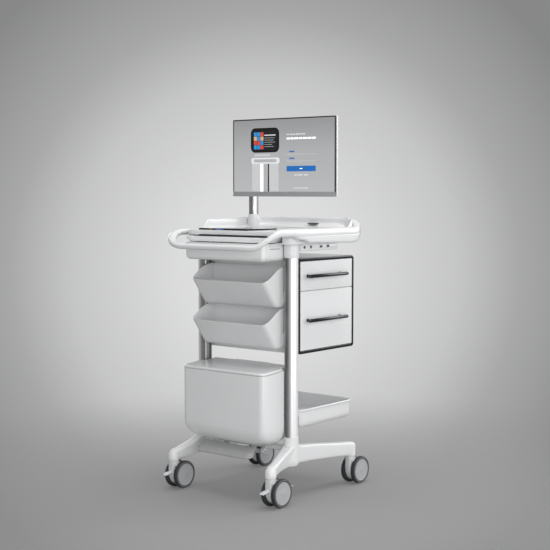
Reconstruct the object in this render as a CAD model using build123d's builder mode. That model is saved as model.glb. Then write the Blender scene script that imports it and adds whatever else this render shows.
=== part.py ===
from build123d import *
import math
import os

os.makedirs("parts", exist_ok=True)

# Mobile medical workstation on four twin-wheel casters, millimetres, +Z up.
# The front (user's side) looks along -Y, the drawers open along +X.
# The origin is on the floor at the middle of the footprint.

# ---------------------------------------------------------------- driving dimensions
CASTER_X = 227.0            # swivel stems, left and right
CASTER_Y_FRONT = -249.0
CASTER_Y_REAR = 215.0
CASTER_TRAIL = 32.0         # wheel centre behind the stem
WHEEL_R = 50.0
HUB_R = 38.0
WHEEL_IN = 12.5             # inner face of each of the twin wheels
WHEEL_OUT = 30.5
AXLE_R = 4.0
RUN = 0.05                  # radial running clearance
STEM_R = 6.0
NECK_HALF = 11.5
STEM_TOP = 130.0
HOUSING_TOP = 104.0

COLUMN_X = 202.0
COLUMN_Y = -105.0
COLUMN_R = 24.0
COLUMN_WALL = 2.5
SOCKET_BOTTOM = 150.0
SOCKET_TOP = 222.0
COLLAR_R = 27.0
COLLAR_Z0 = 849.0

SHELL_Z0 = 896.0            # underside of the worktop
DECK_Z0 = 924.0
DECK_TOP = 937.0
DECK_HALF = 249.5
DECK_FRONT = -172.0
DECK_REAR = 267.0
REAR_R = 109.5              # plan radius of the deck's rear corners

RING_HALF_X = 265.0         # centre line of the handle loop
RING_HALF_Y = 282.8
RING_R = 125.0
RING_W = 30.0
RING_H = 20.0
RING_Z_FRONT = 886.0
RING_Z_SIDE = 935.0
RING_Z_REAR = 970.0

TRAY_TOP = 919.0            # keyboard tray
TRAY_BOTTOM = 901.0
TRAY_FRONT = -213.0
TRAY_REAR = 20.0

CONSOLE_HALF = 181.0
CONSOLE_FRONT = -234.5
CONSOLE_Z0 = 837.0

BIN_HALF = 172.0
BIN_PITCH = 145.0
BIN_LIP_Y = -213.0
BIN_LIP_Z = 764.0
BIN_BOTTOM_Z = 674.0
BIN_BACK_Y = -85.0

WASTE_HALF = 191.0
WASTE_NECK = 174.0
WASTE_STEP = -130.0
WASTE_LID_STEP = -140.0
WASTE_KEEL_R = 75.0
WASTE_FRONT = -243.0
WASTE_BACK = -80.0
WASTE_Z0 = 203.0
WASTE_TOP_FRONT = 447.0
WASTE_TOP_BACK = 460.0
LID_T = 9.0
LID_AXIS_Y = -73.0
LID_AXIS_Z = 462.0

PEDAL_AXIS_Y = -122.0
PEDAL_AXIS_Z = 158.0

CAB_X = 215.0
CAB_Y0 = -80.0
CAB_Y1 = 250.0
CAB_Z0 = 509.0
CAB_Z1 = 845.0
CAB_MID = 729.5

LTRAY_Y0 = -75.0
LTRAY_Y1 = 262.0
LTRAY_Z0 = 244.0
LTRAY_Z1 = 311.0

POLE_X = -214.0
POLE_Y = 188.0
POLE_R = 18.0
POLE_TOP = 1250.0

MON_HALF = 241.0
MON_Z0 = 1059.0
MON_Z1 = 1347.0
MON_FRONT = 98.6
MON_BACK = 117.0
MON_CZ = (MON_Z0 + MON_Z1) / 2
HEAD_Y = 172.0              # vertical pivot of the monitor head
TILT_Y = 131.0


def yz(x):
    """Plane normal to +X at x: local x is Y, local y is Z."""
    return Plane(origin=(x, 0, 0), x_dir=(0, 1, 0), z_dir=(1, 0, 0))


def xz(y):
    """Plane normal to -Y at y: local x is X, local y is Z."""
    return Plane(origin=(0, y, 0), x_dir=(1, 0, 0), z_dir=(0, -1, 0))


# ---------------------------------------------------------------- casters
CASTERS = (
    ("fl", -CASTER_X, CASTER_Y_FRONT, True),
    ("fr", CASTER_X, CASTER_Y_FRONT, True),
    ("bl", -CASTER_X, CASTER_Y_REAR, False),
    ("br", CASTER_X, CASTER_Y_REAR, False),
)
for tag, sx, sy, brake in CASTERS:
    cy = sy + CASTER_TRAIL
    with BuildPart() as caster_body:
        # flat neck between the twin wheels
        with BuildSketch(yz(sx)):
            with Locations((cy, WHEEL_R)):
                Circle(41)
            with Locations((sy, 80)):
                Rectangle(32, 43)
            with Locations((cy, 18)):
                Rectangle(120, 36, mode=Mode.SUBTRACT)
        extrude(amount=NECK_HALF, both=True)
        # thrust flange and threaded stem
        with BuildSketch(Plane.XY.offset(101.5)):
            with Locations((sx, sy)):
                Circle(18)
        extrude(amount=HOUSING_TOP - 101.5)
        with BuildSketch(Plane.XY.offset(101.5)):
            with Locations((sx, sy)):
                Circle(STEM_R)
        extrude(amount=STEM_TOP - 101.5)
        # axle bore
        with BuildSketch(yz(sx)):
            with Locations((cy, WHEEL_R)):
                Circle(AXLE_R)
        extrude(amount=NECK_HALF, both=True, mode=Mode.SUBTRACT)
        if brake:
            # slot and trunnion bores of the brake rocker
            with BuildSketch(yz(sx)):
                with Locations((cy - 10, 66)):
                    Rectangle(160, 20)
            extrude(amount=5.6, both=True, mode=Mode.SUBTRACT)
            with BuildSketch(yz(sx)):
                with Locations((cy, 66)):
                    Circle(3 + RUN)
            extrude(amount=9.1, both=True, mode=Mode.SUBTRACT)
    caster_body.part.label = "caster_body_" + tag
    export_step(caster_body.part, "parts/caster_body_" + tag + ".step")

    with BuildPart() as caster_axle:
        with BuildSketch(yz(sx)):
            with Locations((cy, WHEEL_R)):
                Circle(AXLE_R)
        extrude(amount=28, both=True)
    caster_axle.part.label = "caster_axle_" + tag
    export_step(caster_axle.part, "parts/caster_axle_" + tag + ".step")

    with BuildPart() as caster_hubs:
        for side in (-1, 1):
            with BuildSketch(yz(sx + side * WHEEL_IN)):
                with Locations((cy, WHEEL_R)):
                    Circle(HUB_R)
            extrude(amount=side * (WHEEL_OUT - WHEEL_IN))
            with BuildSketch(yz(sx + side * WHEEL_IN)):
                with Locations((cy, WHEEL_R)):
                    Circle(AXLE_R + RUN)
            extrude(amount=side * 16, mode=Mode.SUBTRACT)
            # shallow dish between rim and centre cap on the outer face
            with BuildSketch(yz(sx + side * WHEEL_OUT)):
                with Locations((cy, WHEEL_R)):
                    Circle(32)
                    Circle(14, mode=Mode.SUBTRACT)
            extrude(amount=-side * 2.5, mode=Mode.SUBTRACT)
    caster_hubs.part.label = "caster_hubs_" + tag
    export_step(caster_hubs.part, "parts/caster_hubs_" + tag + ".step")

    with BuildPart() as caster_tyres:
        for side in (-1, 1):
            with BuildSketch(yz(sx + side * WHEEL_IN)):
                with Locations((cy, WHEEL_R)):
                    Circle(WHEEL_R)
                    Circle(HUB_R, mode=Mode.SUBTRACT)
            extrude(amount=side * (WHEEL_OUT - WHEEL_IN))
        rims = [e for e in caster_tyres.edges().filter_by(GeomType.CIRCLE)
                if abs(e.radius - WHEEL_R) < 0.01]
        fillet(rims, radius=4.5)
    caster_tyres.part.label = "caster_tyres_" + tag
    export_step(caster_tyres.part, "parts/caster_tyres_" + tag + ".step")

    if brake:
        with BuildPart() as brake_rocker:
            # beam through the neck, a treadle at each end
            with BuildSketch(yz(sx)):
                with BuildLine():
                    Polyline((cy - 55, 61), (cy - 79, 55), (cy - 80.4, 59), (cy - 55, 69),
                             (cy - 20, 71), (cy + 20, 71), (cy + 55, 67), (cy + 82, 58),
                             (cy + 80, 53), (cy + 55, 60), (cy + 20, 62), (cy - 20, 62),
                             close=True)
                make_face()
            extrude(amount=5, both=True)
            for a, b, za, zb in ((cy - 80.4, cy - 54, 57, 65), (cy + 54, cy + 82, 63.5, 55.5)):
                with BuildSketch(yz(sx)):
                    with BuildLine():
                        Polyline((a, za - 2.2), (a, za + 2.2), (b, zb + 3), (b, zb - 3), close=True)
                    make_face()
                extrude(amount=13, both=True)
            with BuildSketch(yz(sx)):
                with Locations((cy, 66)):
                    Circle(3)
            extrude(amount=9, both=True)
        brake_rocker.part.label = "brake_rocker_" + tag
        export_step(brake_rocker.part, "parts/brake_rocker_" + tag + ".step")

# ---------------------------------------------------------------- base
# cast leg: y, x centre, bottom, top, width, corner radius
LEG_SECTIONS = (
    (-262.0, 227.0, 108.0, 138.0, 22.0, 9.0),
    (-232.0, 223.0, 108.0, 146.0, 30.0, 11.0),
    (-190.0, 214.0, 112.0, 163.0, 34.0, 12.0),
    (-145.0, 205.0, 118.0, 196.0, 40.0, 14.0),
    (-105.0, 202.0, 122.0, 208.0, 46.0, 16.0),
    (-66.0, 202.0, 124.0, 190.0, 42.0, 15.0),
    (0.0, 203.0, 120.0, 178.0, 38.0, 13.0),
    (106.0, 211.0, 114.0, 168.0, 35.0, 12.0),
    (190.0, 224.0, 108.0, 160.0, 34.0, 12.0),
    (228.0, 227.0, 107.0, 152.0, 26.0, 10.0),
)
with BuildPart() as base_leg_right:
    for ly, lx, l0, l1, lw, lr in LEG_SECTIONS:
        with BuildSketch(Plane(origin=(lx, ly, (l0 + l1) / 2), x_dir=(1, 0, 0), z_dir=(0, -1, 0))):
            RectangleRounded(lw, l1 - l0, lr)
    loft()
    # column socket
    with BuildSketch(Plane.XY.offset(126)):
        with Locations((COLUMN_X, COLUMN_Y)):
            Circle(26)
    extrude(amount=SOCKET_TOP - 126)
    # caster bosses
    with BuildSketch(Plane.XY.offset(HOUSING_TOP + 0.5)):
        with Locations((CASTER_X, CASTER_Y_FRONT)):
            Circle(20)
    extrude(amount=143 - HOUSING_TOP)
    with BuildSketch(Plane.XY.offset(HOUSING_TOP + 0.5)):
        with Locations((CASTER_X, CASTER_Y_REAR)):
            Circle(20)
    extrude(amount=153 - HOUSING_TOP)
    # flat pad that takes the crossbeam
    with BuildSketch(Plane.XY.offset(126)):
        with Locations((187, -97)):
            Rectangle(30, 30)
    extrude(amount=60)
    # bores
    with BuildSketch(Plane.XY.offset(SOCKET_BOTTOM)):
        with Locations((COLUMN_X, COLUMN_Y)):
            Circle(COLUMN_R)
    extrude(amount=100, mode=Mode.SUBTRACT)
    with BuildSketch(Plane.XY.offset(HOUSING_TOP)):
        with Locations((CASTER_X, CASTER_Y_FRONT), (CASTER_X, CASTER_Y_REAR)):
            Circle(STEM_R + RUN)
    extrude(amount=STEM_TOP + 0.5 - HOUSING_TOP, mode=Mode.SUBTRACT)
base_leg_right.part.label = "base_leg_right"
export_step(base_leg_right.part, "parts/base_leg_right.step")

with BuildPart() as base_leg_left:
    mirror(base_leg_right.part, about=Plane.YZ)
base_leg_left.part.label = "base_leg_left"
export_step(base_leg_left.part, "parts/base_leg_left.step")

with BuildPart() as base_crossbeam:
    with BuildSketch(yz(0)):
        with Locations((-97, 156)):
            RectangleRounded(30, 60, 8)
    extrude(amount=172, both=True)
    # ears that carry the pedal's pivot pin
    for side in (-1, 1):
        with BuildSketch(yz(side * 82)):
            with Locations((PEDAL_AXIS_Y, PEDAL_AXIS_Z)):
                Circle(8)
            with Locations((PEDAL_AXIS_Y + 8, PEDAL_AXIS_Z)):
                Rectangle(16, 16)
            with Locations((PEDAL_AXIS_Y, PEDAL_AXIS_Z)):
                Circle(4, mode=Mode.SUBTRACT)
        extrude(amount=side * 16)
base_crossbeam.part.label = "base_crossbeam"
export_step(base_crossbeam.part, "parts/base_crossbeam.step")

# ---------------------------------------------------------------- columns
for cname, cx in (("column_left", -COLUMN_X), ("column_right", COLUMN_X)):
    with BuildPart() as column:
        with BuildSketch(Plane.XY.offset(SOCKET_BOTTOM)):
            with Locations((cx, COLUMN_Y)):
                Circle(COLUMN_R)
                Circle(COLUMN_R - COLUMN_WALL, mode=Mode.SUBTRACT)
        extrude(amount=SHELL_Z0 - SOCKET_BOTTOM)
    column.part.label = cname
    export_step(column.part, "parts/" + cname + ".step")

with BuildPart() as column_collars:
    with BuildSketch(Plane.XY.offset(COLLAR_Z0)):
        for cx in (-COLUMN_X, COLUMN_X):
            with Locations((cx, COLUMN_Y)):
                Circle(COLLAR_R)
                Circle(COLUMN_R, mode=Mode.SUBTRACT)
    extrude(amount=SHELL_Z0 - COLLAR_Z0)
column_collars.part.label = "column_collars"
export_step(column_collars.part, "parts/column_collars.step")

# saddle brackets between the columns and the bins, the cabinet, the lower tray
with BuildPart() as column_brackets:
    for side in (-1, 1):
        for bz in (BIN_BOTTOM_Z - BIN_PITCH + 16, BIN_BOTTOM_Z + 16):
            with BuildSketch(Plane.XY.offset(bz)):
                with Locations((side * 183, -96)):
                    Rectangle(22, 32)
            extrude(amount=40)
        with BuildSketch(Plane.XY.offset(300)):
            with Locations((side * 183, -110)):
                Rectangle(18, 20)
        extrude(amount=60)
        with BuildSketch(Plane.XY.offset(256)):
            with Locations((side * 200, -82)):
                Rectangle(24, 14)
        extrude(amount=36)
        with BuildSketch(Plane.XY.offset(200)):
            with Locations((side * COLUMN_X, COLUMN_Y)):
                Circle(COLUMN_R)
        extrude(amount=640, mode=Mode.SUBTRACT)
column_brackets.part.label = "column_brackets"
export_step(column_brackets.part, "parts/column_brackets.step")

# ---------------------------------------------------------------- worktop
with BuildPart() as worktop_undershell:
    with BuildSketch(Plane.XY.offset(SHELL_Z0)):
        with BuildLine():
            FilletPolyline((-DECK_HALF, -163), (DECK_HALF, -163), (DECK_HALF, DECK_REAR),
                           (-DECK_HALF, DECK_REAR), radius=[30, 30, REAR_R, REAR_R], close=True)
        make_face()
    extrude(amount=DECK_Z0 - SHELL_Z0)
    with BuildSketch(Plane.XY.offset(SHELL_Z0 + 3)):
        with BuildLine():
            FilletPolyline((-DECK_HALF + 5, -158), (DECK_HALF - 5, -158),
                           (DECK_HALF - 5, DECK_REAR - 5), (-DECK_HALF + 5, DECK_REAR - 5),
                           radius=[25, 25, REAR_R - 5, REAR_R - 5], close=True)
        make_face()
    extrude(amount=DECK_Z0 - SHELL_Z0, mode=Mode.SUBTRACT)
    # mouth for the keyboard tray
    with BuildSketch(Plane.XY.offset(SHELL_Z0 + 3)):
        with Locations((0, -150)):
            Rectangle(416, 60)
    extrude(amount=DECK_Z0 - SHELL_Z0, mode=Mode.SUBTRACT)
worktop_undershell.part.label = "worktop_undershell"
export_step(worktop_undershell.part, "parts/worktop_undershell.step")

with BuildPart() as worktop_deck:
    with BuildSketch(Plane.XY.offset(DECK_Z0)):
        with BuildLine():
            FilletPolyline((-DECK_HALF, DECK_FRONT), (DECK_HALF, DECK_FRONT), (DECK_HALF, DECK_REAR),
                           (-DECK_HALF, DECK_REAR), radius=[42, 42, REAR_R, REAR_R], close=True)
        make_face()
    extrude(amount=DECK_TOP - DECK_Z0)
    # raised front rim
    with BuildSketch(Plane.XY.offset(DECK_TOP)):
        with Locations((0, DECK_FRONT + 2.5)):
            Rectangle(400, 5)
    extrude(amount=7)
worktop_deck.part.label = "worktop_deck"
export_step(worktop_deck.part, "parts/worktop_deck.step")

# handle loop: straight runs and arcs, tilted at the front and rear corners
tf = math.atan2(RING_Z_SIDE - RING_Z_FRONT, RING_R)
tr = math.atan2(RING_Z_REAR - RING_Z_SIDE, RING_R)
cx0 = RING_HALF_X - RING_R
h45 = math.sqrt(0.5)
p0 = Vector(0, -RING_HALF_Y, RING_Z_FRONT)
p1 = Vector(cx0, -RING_HALF_Y, RING_Z_FRONT)
pm = Vector(cx0 + RING_R * h45, -RING_HALF_Y + RING_R * (1 - h45) * math.cos(tf),
            RING_Z_FRONT + RING_R * (1 - h45) * math.sin(tf))
p2 = Vector(RING_HALF_X, -RING_HALF_Y + RING_R * math.cos(tf), RING_Z_FRONT + RING_R * math.sin(tf))
kf = -RING_HALF_Y + RING_R
tlen = RING_R / math.cos(tf) - RING_R
rho = tlen / math.tan(tf / 2)
b0 = Vector(RING_HALF_X, kf + tlen, RING_Z_SIDE)
bm = Vector(RING_HALF_X, b0.Y - rho * math.sin(tf / 2), RING_Z_SIDE - rho + rho * math.cos(tf / 2))
kr = RING_HALF_Y - RING_R
tlen2 = RING_R / math.cos(tr) - RING_R
rho2 = tlen2 / math.tan(tr / 2)
c0 = Vector(RING_HALF_X, kr - tlen2, RING_Z_SIDE)
cm = Vector(RING_HALF_X, c0.Y + rho2 * math.sin(tr / 2), RING_Z_SIDE + rho2 - rho2 * math.cos(tr / 2))
q1 = Vector(RING_HALF_X, RING_HALF_Y - RING_R * math.cos(tr), RING_Z_REAR - RING_R * math.sin(tr))
qm = Vector(cx0 + RING_R * h45, RING_HALF_Y - RING_R * (1 - h45) * math.cos(tr),
            RING_Z_REAR - RING_R * (1 - h45) * math.sin(tr))
q2 = Vector(cx0, RING_HALF_Y, RING_Z_REAR)
q3 = Vector(0, RING_HALF_Y, RING_Z_REAR)
with BuildPart() as handle_ring:
    with BuildLine() as ring_path:
        Line(p0, p1)
        ThreePointArc(p1, pm, p2)
        ThreePointArc(p2, bm, b0)
        Line(b0, c0)
        ThreePointArc(c0, cm, q1)
        ThreePointArc(q1, qm, q2)
        Line(q2, q3)
    with BuildSketch(Plane(origin=p0, x_dir=(0, math.cos(tf), math.sin(tf)), z_dir=(1, 0, 0))):
        RectangleRounded(RING_W, RING_H, 9.0)
    sweep()
    mirror(about=Plane.YZ)
    # side bands below the loop, joined round the back
    with BuildSketch(Plane.XY.offset(SHELL_Z0)):
        with BuildLine():
            FilletPolyline((-276, -100), (276, -100), (276, DECK_REAR + 26.5),
                           (-276, DECK_REAR + 26.5), radius=[12, 12, 136, 136], close=True)
        make_face()
        with BuildLine():
            FilletPolyline((-DECK_HALF, -240), (DECK_HALF, -240), (DECK_HALF, DECK_REAR),
                           (-DECK_HALF, DECK_REAR), radius=[5, 5, REAR_R, REAR_R], close=True)
        make_face(mode=Mode.SUBTRACT)
    extrude(amount=RING_Z_SIDE - 2 - SHELL_Z0)
handle_ring.part.label = "handle_ring"
export_step(handle_ring.part, "parts/handle_ring.step")

with BuildPart() as guard_wall:
    with BuildSketch(Plane.XY.offset(DECK_TOP)):
        with BuildLine():
            FilletPolyline((-249.2, -100), (249.2, -100), (249.2, 266.7), (-249.2, 266.7),
                           radius=[5, 5, 109.2, 109.2], close=True)
        make_face()
        with BuildLine():
            FilletPolyline((-243.2, -140), (243.2, -140), (243.2, 260.7), (-243.2, 260.7),
                           radius=[5, 5, 103.2, 103.2], close=True)
        make_face(mode=Mode.SUBTRACT)
        with Locations((150, 50)):
            Rectangle(300, 330, mode=Mode.SUBTRACT)
    extrude(amount=45)
    with BuildSketch(yz(-260)):
        with BuildLine():
            Polyline((-68, 930), (-68, 946), (-39, 971), (157, 971), (240, 976), (300, 976), (300, 930),
                     close=True)
        make_face()
    extrude(amount=560, mode=Mode.INTERSECT)
guard_wall.part.label = "guard_wall"
export_step(guard_wall.part, "parts/guard_wall.step")

with BuildPart() as touch_panel:
    with BuildSketch(Plane.XY.offset(DECK_TOP)):
        with Locations((-51, -86)):
            RectangleRounded(232, 152, 12)
    extrude(amount=8)
touch_panel.part.label = "touch_panel"
export_step(touch_panel.part, "parts/touch_panel.step")

with BuildPart() as keyboard_tray:
    with BuildSketch(xz(TRAY_FRONT)):
        with BuildLine():
            Polyline((-178, TRAY_BOTTOM), (178, TRAY_BOTTOM), (200, TRAY_TOP), (-200, TRAY_TOP), close=True)
        make_face()
    extrude(amount=TRAY_FRONT - TRAY_REAR)
    with BuildSketch(Plane.XY.offset(TRAY_BOTTOM + 4)):
        with Locations((0, -122)):
            RectangleRounded(340, 150, 6)
    extrude(amount=30, mode=Mode.SUBTRACT)
keyboard_tray.part.label = "keyboard_tray"
export_step(keyboard_tray.part, "parts/keyboard_tray.step")

with BuildPart() as keyboard_base:
    with BuildSketch(Plane.XY.offset(TRAY_BOTTOM + 4)):
        with Locations((0, -122)):
            RectangleRounded(330, 130, 8)
    extrude(amount=6)
keyboard_base.part.label = "keyboard_base"
export_step(keyboard_base.part, "parts/keyboard_base.step")

# one-piece sealed key mat with raised keys
with BuildPart() as keyboard_keymat:
    with BuildSketch(Plane.XY.offset(TRAY_BOTTOM + 10)):
        with Locations((0, -122)):
            RectangleRounded(322, 122, 6)
    extrude(amount=2)
    with BuildSketch(Plane.XY.offset(TRAY_BOTTOM + 12)):
        with Locations((0, -112)):
            with GridLocations(19, 19, 16, 5):
                RectangleRounded(16, 16, 2.5)
        with Locations((0, -172)):
            RectangleRounded(110, 14, 2.5)
            with GridLocations(230, 1, 2, 1):
                RectangleRounded(60, 14, 2.5)
    extrude(amount=2.5)
keyboard_keymat.part.label = "keyboard_keymat"
export_step(keyboard_keymat.part, "parts/keyboard_keymat.step")

with BuildPart() as tray_rails:
    for side in (-1, 1):
        with BuildSketch(Plane.XY.offset(SHELL_Z0 + 3)):
            with Locations((side * 204.1, -70)):
                Rectangle(8, 170)
        extrude(amount=18)
tray_rails.part.label = "tray_rails"
export_step(tray_rails.part, "parts/tray_rails.step")

# ---------------------------------------------------------------- console under the worktop
MOD_Y0, MOD_Y1, MOD_Z0, MOD_Z1 = -212.0, -133.0, 851.0, 890.0
with BuildPart() as console_body:
    with BuildSketch(xz(CONSOLE_FRONT)):
        with Locations((0, (CONSOLE_Z0 + SHELL_Z0) / 2)):
            Rectangle(2 * CONSOLE_HALF, SHELL_Z0 - CONSOLE_Z0)
    extrude(amount=CONSOLE_FRONT + 131.0)
    low = console_body.edges().filter_by(Axis.Y).group_by(Axis.Z)[0]
    fillet(low, radius=18)
    front = console_body.faces().sort_by(Axis.Y)[0]
    fillet(front.edges(), radius=12)
    with BuildSketch(xz(-132.0)):
        with Locations((0, (CONSOLE_Z0 + SHELL_Z0) / 2)):
            Rectangle(346, SHELL_Z0 - CONSOLE_Z0)
    extrude(amount=-132.0 + 82.0)
    # bay of the battery module, open to the right
    with BuildSketch(yz(CONSOLE_HALF + 5)):
        with Locations(((MOD_Y0 + MOD_Y1) / 2, (MOD_Z0 + MOD_Z1) / 2)):
            Rectangle(MOD_Y1 - MOD_Y0 + 0.2, MOD_Z1 - MOD_Z0 + 0.2)
    extrude(amount=-127.0, mode=Mode.SUBTRACT)
console_body.part.label = "console_body"
export_step(console_body.part, "parts/console_body.step")

with BuildPart() as battery_module:
    with BuildSketch(yz(60.0)):
        with Locations(((MOD_Y0 + MOD_Y1) / 2, (MOD_Z0 + MOD_Z1) / 2)):
            Rectangle(MOD_Y1 - MOD_Y0, MOD_Z1 - MOD_Z0)
    extrude(amount=122.0)
    # finger recess on the end face
    with BuildSketch(yz(182.0)):
        with Locations(((MOD_Y0 + MOD_Y1) / 2, MOD_Z0 + 10)):
            RectangleRounded(44, 9, 4)
    extrude(amount=-12.0, mode=Mode.SUBTRACT)
battery_module.part.label = "battery_module"
export_step(battery_module.part, "parts/battery_module.step")

PORT_Z = 884.0
with BuildPart() as io_housing:
    with BuildSketch(xz(-74)):
        with Locations((0, 883)):
            Rectangle(444, 26)
    extrude(amount=-215.0)
    tail = io_housing.faces().sort_by(Axis.Y)[-1].edges().sort_by(Axis.Z)[0]
    fillet(tail, radius=22)
    # round jacks and flat sockets in both end faces
    for side in (-1, 1):
        with BuildSketch(yz(side * 222)):
            with Locations((-56.5, PORT_Z), (-19.5, PORT_Z)):
                Circle(5.5)
            with Locations((39.5, PORT_Z), (80.5, PORT_Z)):
                Rectangle(15, 8)
        extrude(amount=-side * 14, mode=Mode.SUBTRACT)
    # opening for the mains inlet in the rear face
    with BuildSketch(xz(141)):
        with Locations((-150, 882.5)):
            Rectangle(28, 20)
    extrude(amount=20, mode=Mode.SUBTRACT)
io_housing.part.label = "io_housing"
export_step(io_housing.part, "parts/io_housing.step")

with BuildPart() as io_ports:
    for side in (-1, 1):
        with BuildSketch(yz(side * 208)):
            with Locations((-56.5, PORT_Z), (-19.5, PORT_Z)):
                Circle(5.5)
                Circle(2.6, mode=Mode.SUBTRACT)
            with Locations((39.5, PORT_Z), (80.5, PORT_Z)):
                Rectangle(15, 8)
                Rectangle(12.4, 5.2, mode=Mode.SUBTRACT)
        extrude(amount=side * 13)
    with BuildSketch(xz(141)):
        with Locations((-150, 882.5)):
            Rectangle(28, 20)
            with GridLocations(7, 1, 3, 1):
                Rectangle(2.2, 5, mode=Mode.SUBTRACT)
    extrude(amount=18)
io_ports.part.label = "io_ports"
export_step(io_ports.part, "parts/io_ports.step")

# ---------------------------------------------------------------- storage bins
for bname, dz in (("storage_bin_upper", 0.0), ("storage_bin_lower", -BIN_PITCH)):
    bz0, bz1 = BIN_BOTTOM_Z + dz, BIN_LIP_Z + dz
    with BuildPart() as storage_bin:
        with BuildSketch(yz(0)):
            with BuildLine():
                Polyline((BIN_LIP_Y, bz1), (-147, bz0), (BIN_BACK_Y, bz0), (BIN_BACK_Y, bz1 + 52),
                         (-110, bz1 + 51.5), (-142, bz1 + 39), (-172, bz1 + 18), (-202, bz1 + 6), close=True)
            make_face()
        extrude(amount=BIN_HALF, both=True)
        with BuildSketch(yz(0)):
            with BuildLine():
                Polyline((-257.7, bz1 + 66), (-145.5, bz0 + 3), (BIN_BACK_Y - 3, bz0 + 3),
                         (BIN_BACK_Y - 3, bz1 + 66), close=True)
            make_face()
        extrude(amount=BIN_HALF - 3, both=True, mode=Mode.SUBTRACT)
    storage_bin.part.label = bname
    export_step(storage_bin.part, "parts/" + bname + ".step")

# ---------------------------------------------------------------- waste bin
lid_slope = math.atan2(WASTE_TOP_BACK - WASTE_TOP_FRONT, WASTE_BACK - WASTE_FRONT)
with BuildPart() as waste_cavity:
    with BuildSketch(xz(WASTE_FRONT + 3)):
        with BuildLine():
            FilletPolyline((-WASTE_NECK + 3, 520), (-WASTE_NECK + 3, WASTE_Z0 + 3),
                           (WASTE_NECK - 3, WASTE_Z0 + 3), (WASTE_NECK - 3, 520),
                           radius=[1, 13, 13, 1], close=True)
        make_face()
    extrude(amount=WASTE_FRONT + 3 - (WASTE_BACK - 3))
    with BuildSketch(yz(0)):
        with BuildLine():
            FilletPolyline((WASTE_FRONT + 3, 525), (WASTE_FRONT + 3, WASTE_Z0 + 3),
                           (WASTE_BACK - 3, WASTE_Z0 + 3), (WASTE_BACK - 3, 525),
                           radius=[1, WASTE_KEEL_R - 3, 5, 1], close=True)
        make_face()
    extrude(amount=220, both=True, mode=Mode.INTERSECT)
with BuildPart() as waste_bin_body:
    with BuildSketch(xz(WASTE_FRONT)):
        with BuildLine():
            FilletPolyline((-WASTE_HALF, 500), (-WASTE_HALF, WASTE_Z0), (WASTE_HALF, WASTE_Z0),
                           (WASTE_HALF, 500), radius=[1, 16, 16, 1], close=True)
        make_face()
    extrude(amount=WASTE_FRONT - WASTE_BACK)
    with BuildSketch(Plane.XY.offset(WASTE_Z0)):
        with BuildLine():
            FilletPolyline((-WASTE_HALF, WASTE_FRONT), (WASTE_HALF, WASTE_FRONT), (WASTE_HALF, WASTE_STEP),
                           (WASTE_NECK, WASTE_STEP + 4), (WASTE_NECK, WASTE_BACK), (-WASTE_NECK, WASTE_BACK),
                           (-WASTE_NECK, WASTE_STEP + 4), (-WASTE_HALF, WASTE_STEP),
                           radius=[18, 18, 3, 3, 3, 3, 3, 3], close=True)
        make_face()
    extrude(amount=300, mode=Mode.INTERSECT)
    # broad round under the front
    with BuildSketch(yz(0)):
        with BuildLine():
            FilletPolyline((WASTE_FRONT, 510), (WASTE_FRONT, WASTE_Z0),
                           (WASTE_BACK, WASTE_Z0), (WASTE_BACK, 510),
                           radius=[1, WASTE_KEEL_R, 8, 1], close=True)
        make_face()
    extrude(amount=220, both=True, mode=Mode.INTERSECT)
    # mouth plane under the lid
    with BuildSketch(yz(0)):
        with BuildLine():
            Polyline((WASTE_FRONT - 50, WASTE_TOP_FRONT - 50 * math.tan(lid_slope)), (WASTE_FRONT - 50, 560),
                     (WASTE_BACK + 50, 560), (WASTE_BACK + 50, WASTE_TOP_BACK + 50 * math.tan(lid_slope)),
                     close=True)
        make_face()
    extrude(amount=220, both=True, mode=Mode.SUBTRACT)
    add(waste_cavity.part, mode=Mode.SUBTRACT)
    # hinge ears behind the rear wall
    for side in (-1, 1):
        with BuildSketch(yz(side * 82)):
            with BuildLine():
                Polyline((WASTE_BACK - 3, 456), (WASTE_BACK - 3, 425), (LID_AXIS_Y + 6, 450),
                         (LID_AXIS_Y + 7, LID_AXIS_Z), (LID_AXIS_Y, LID_AXIS_Z + 7),
                         (LID_AXIS_Y - 7, LID_AXIS_Z - 4), close=True)
            make_face()
            with Locations((LID_AXIS_Y, LID_AXIS_Z)):
                Circle(4, mode=Mode.SUBTRACT)
        extrude(amount=side * 16)
waste_bin_body.part.label = "waste_bin_body"
export_step(waste_bin_body.part, "parts/waste_bin_body.step")

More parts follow.
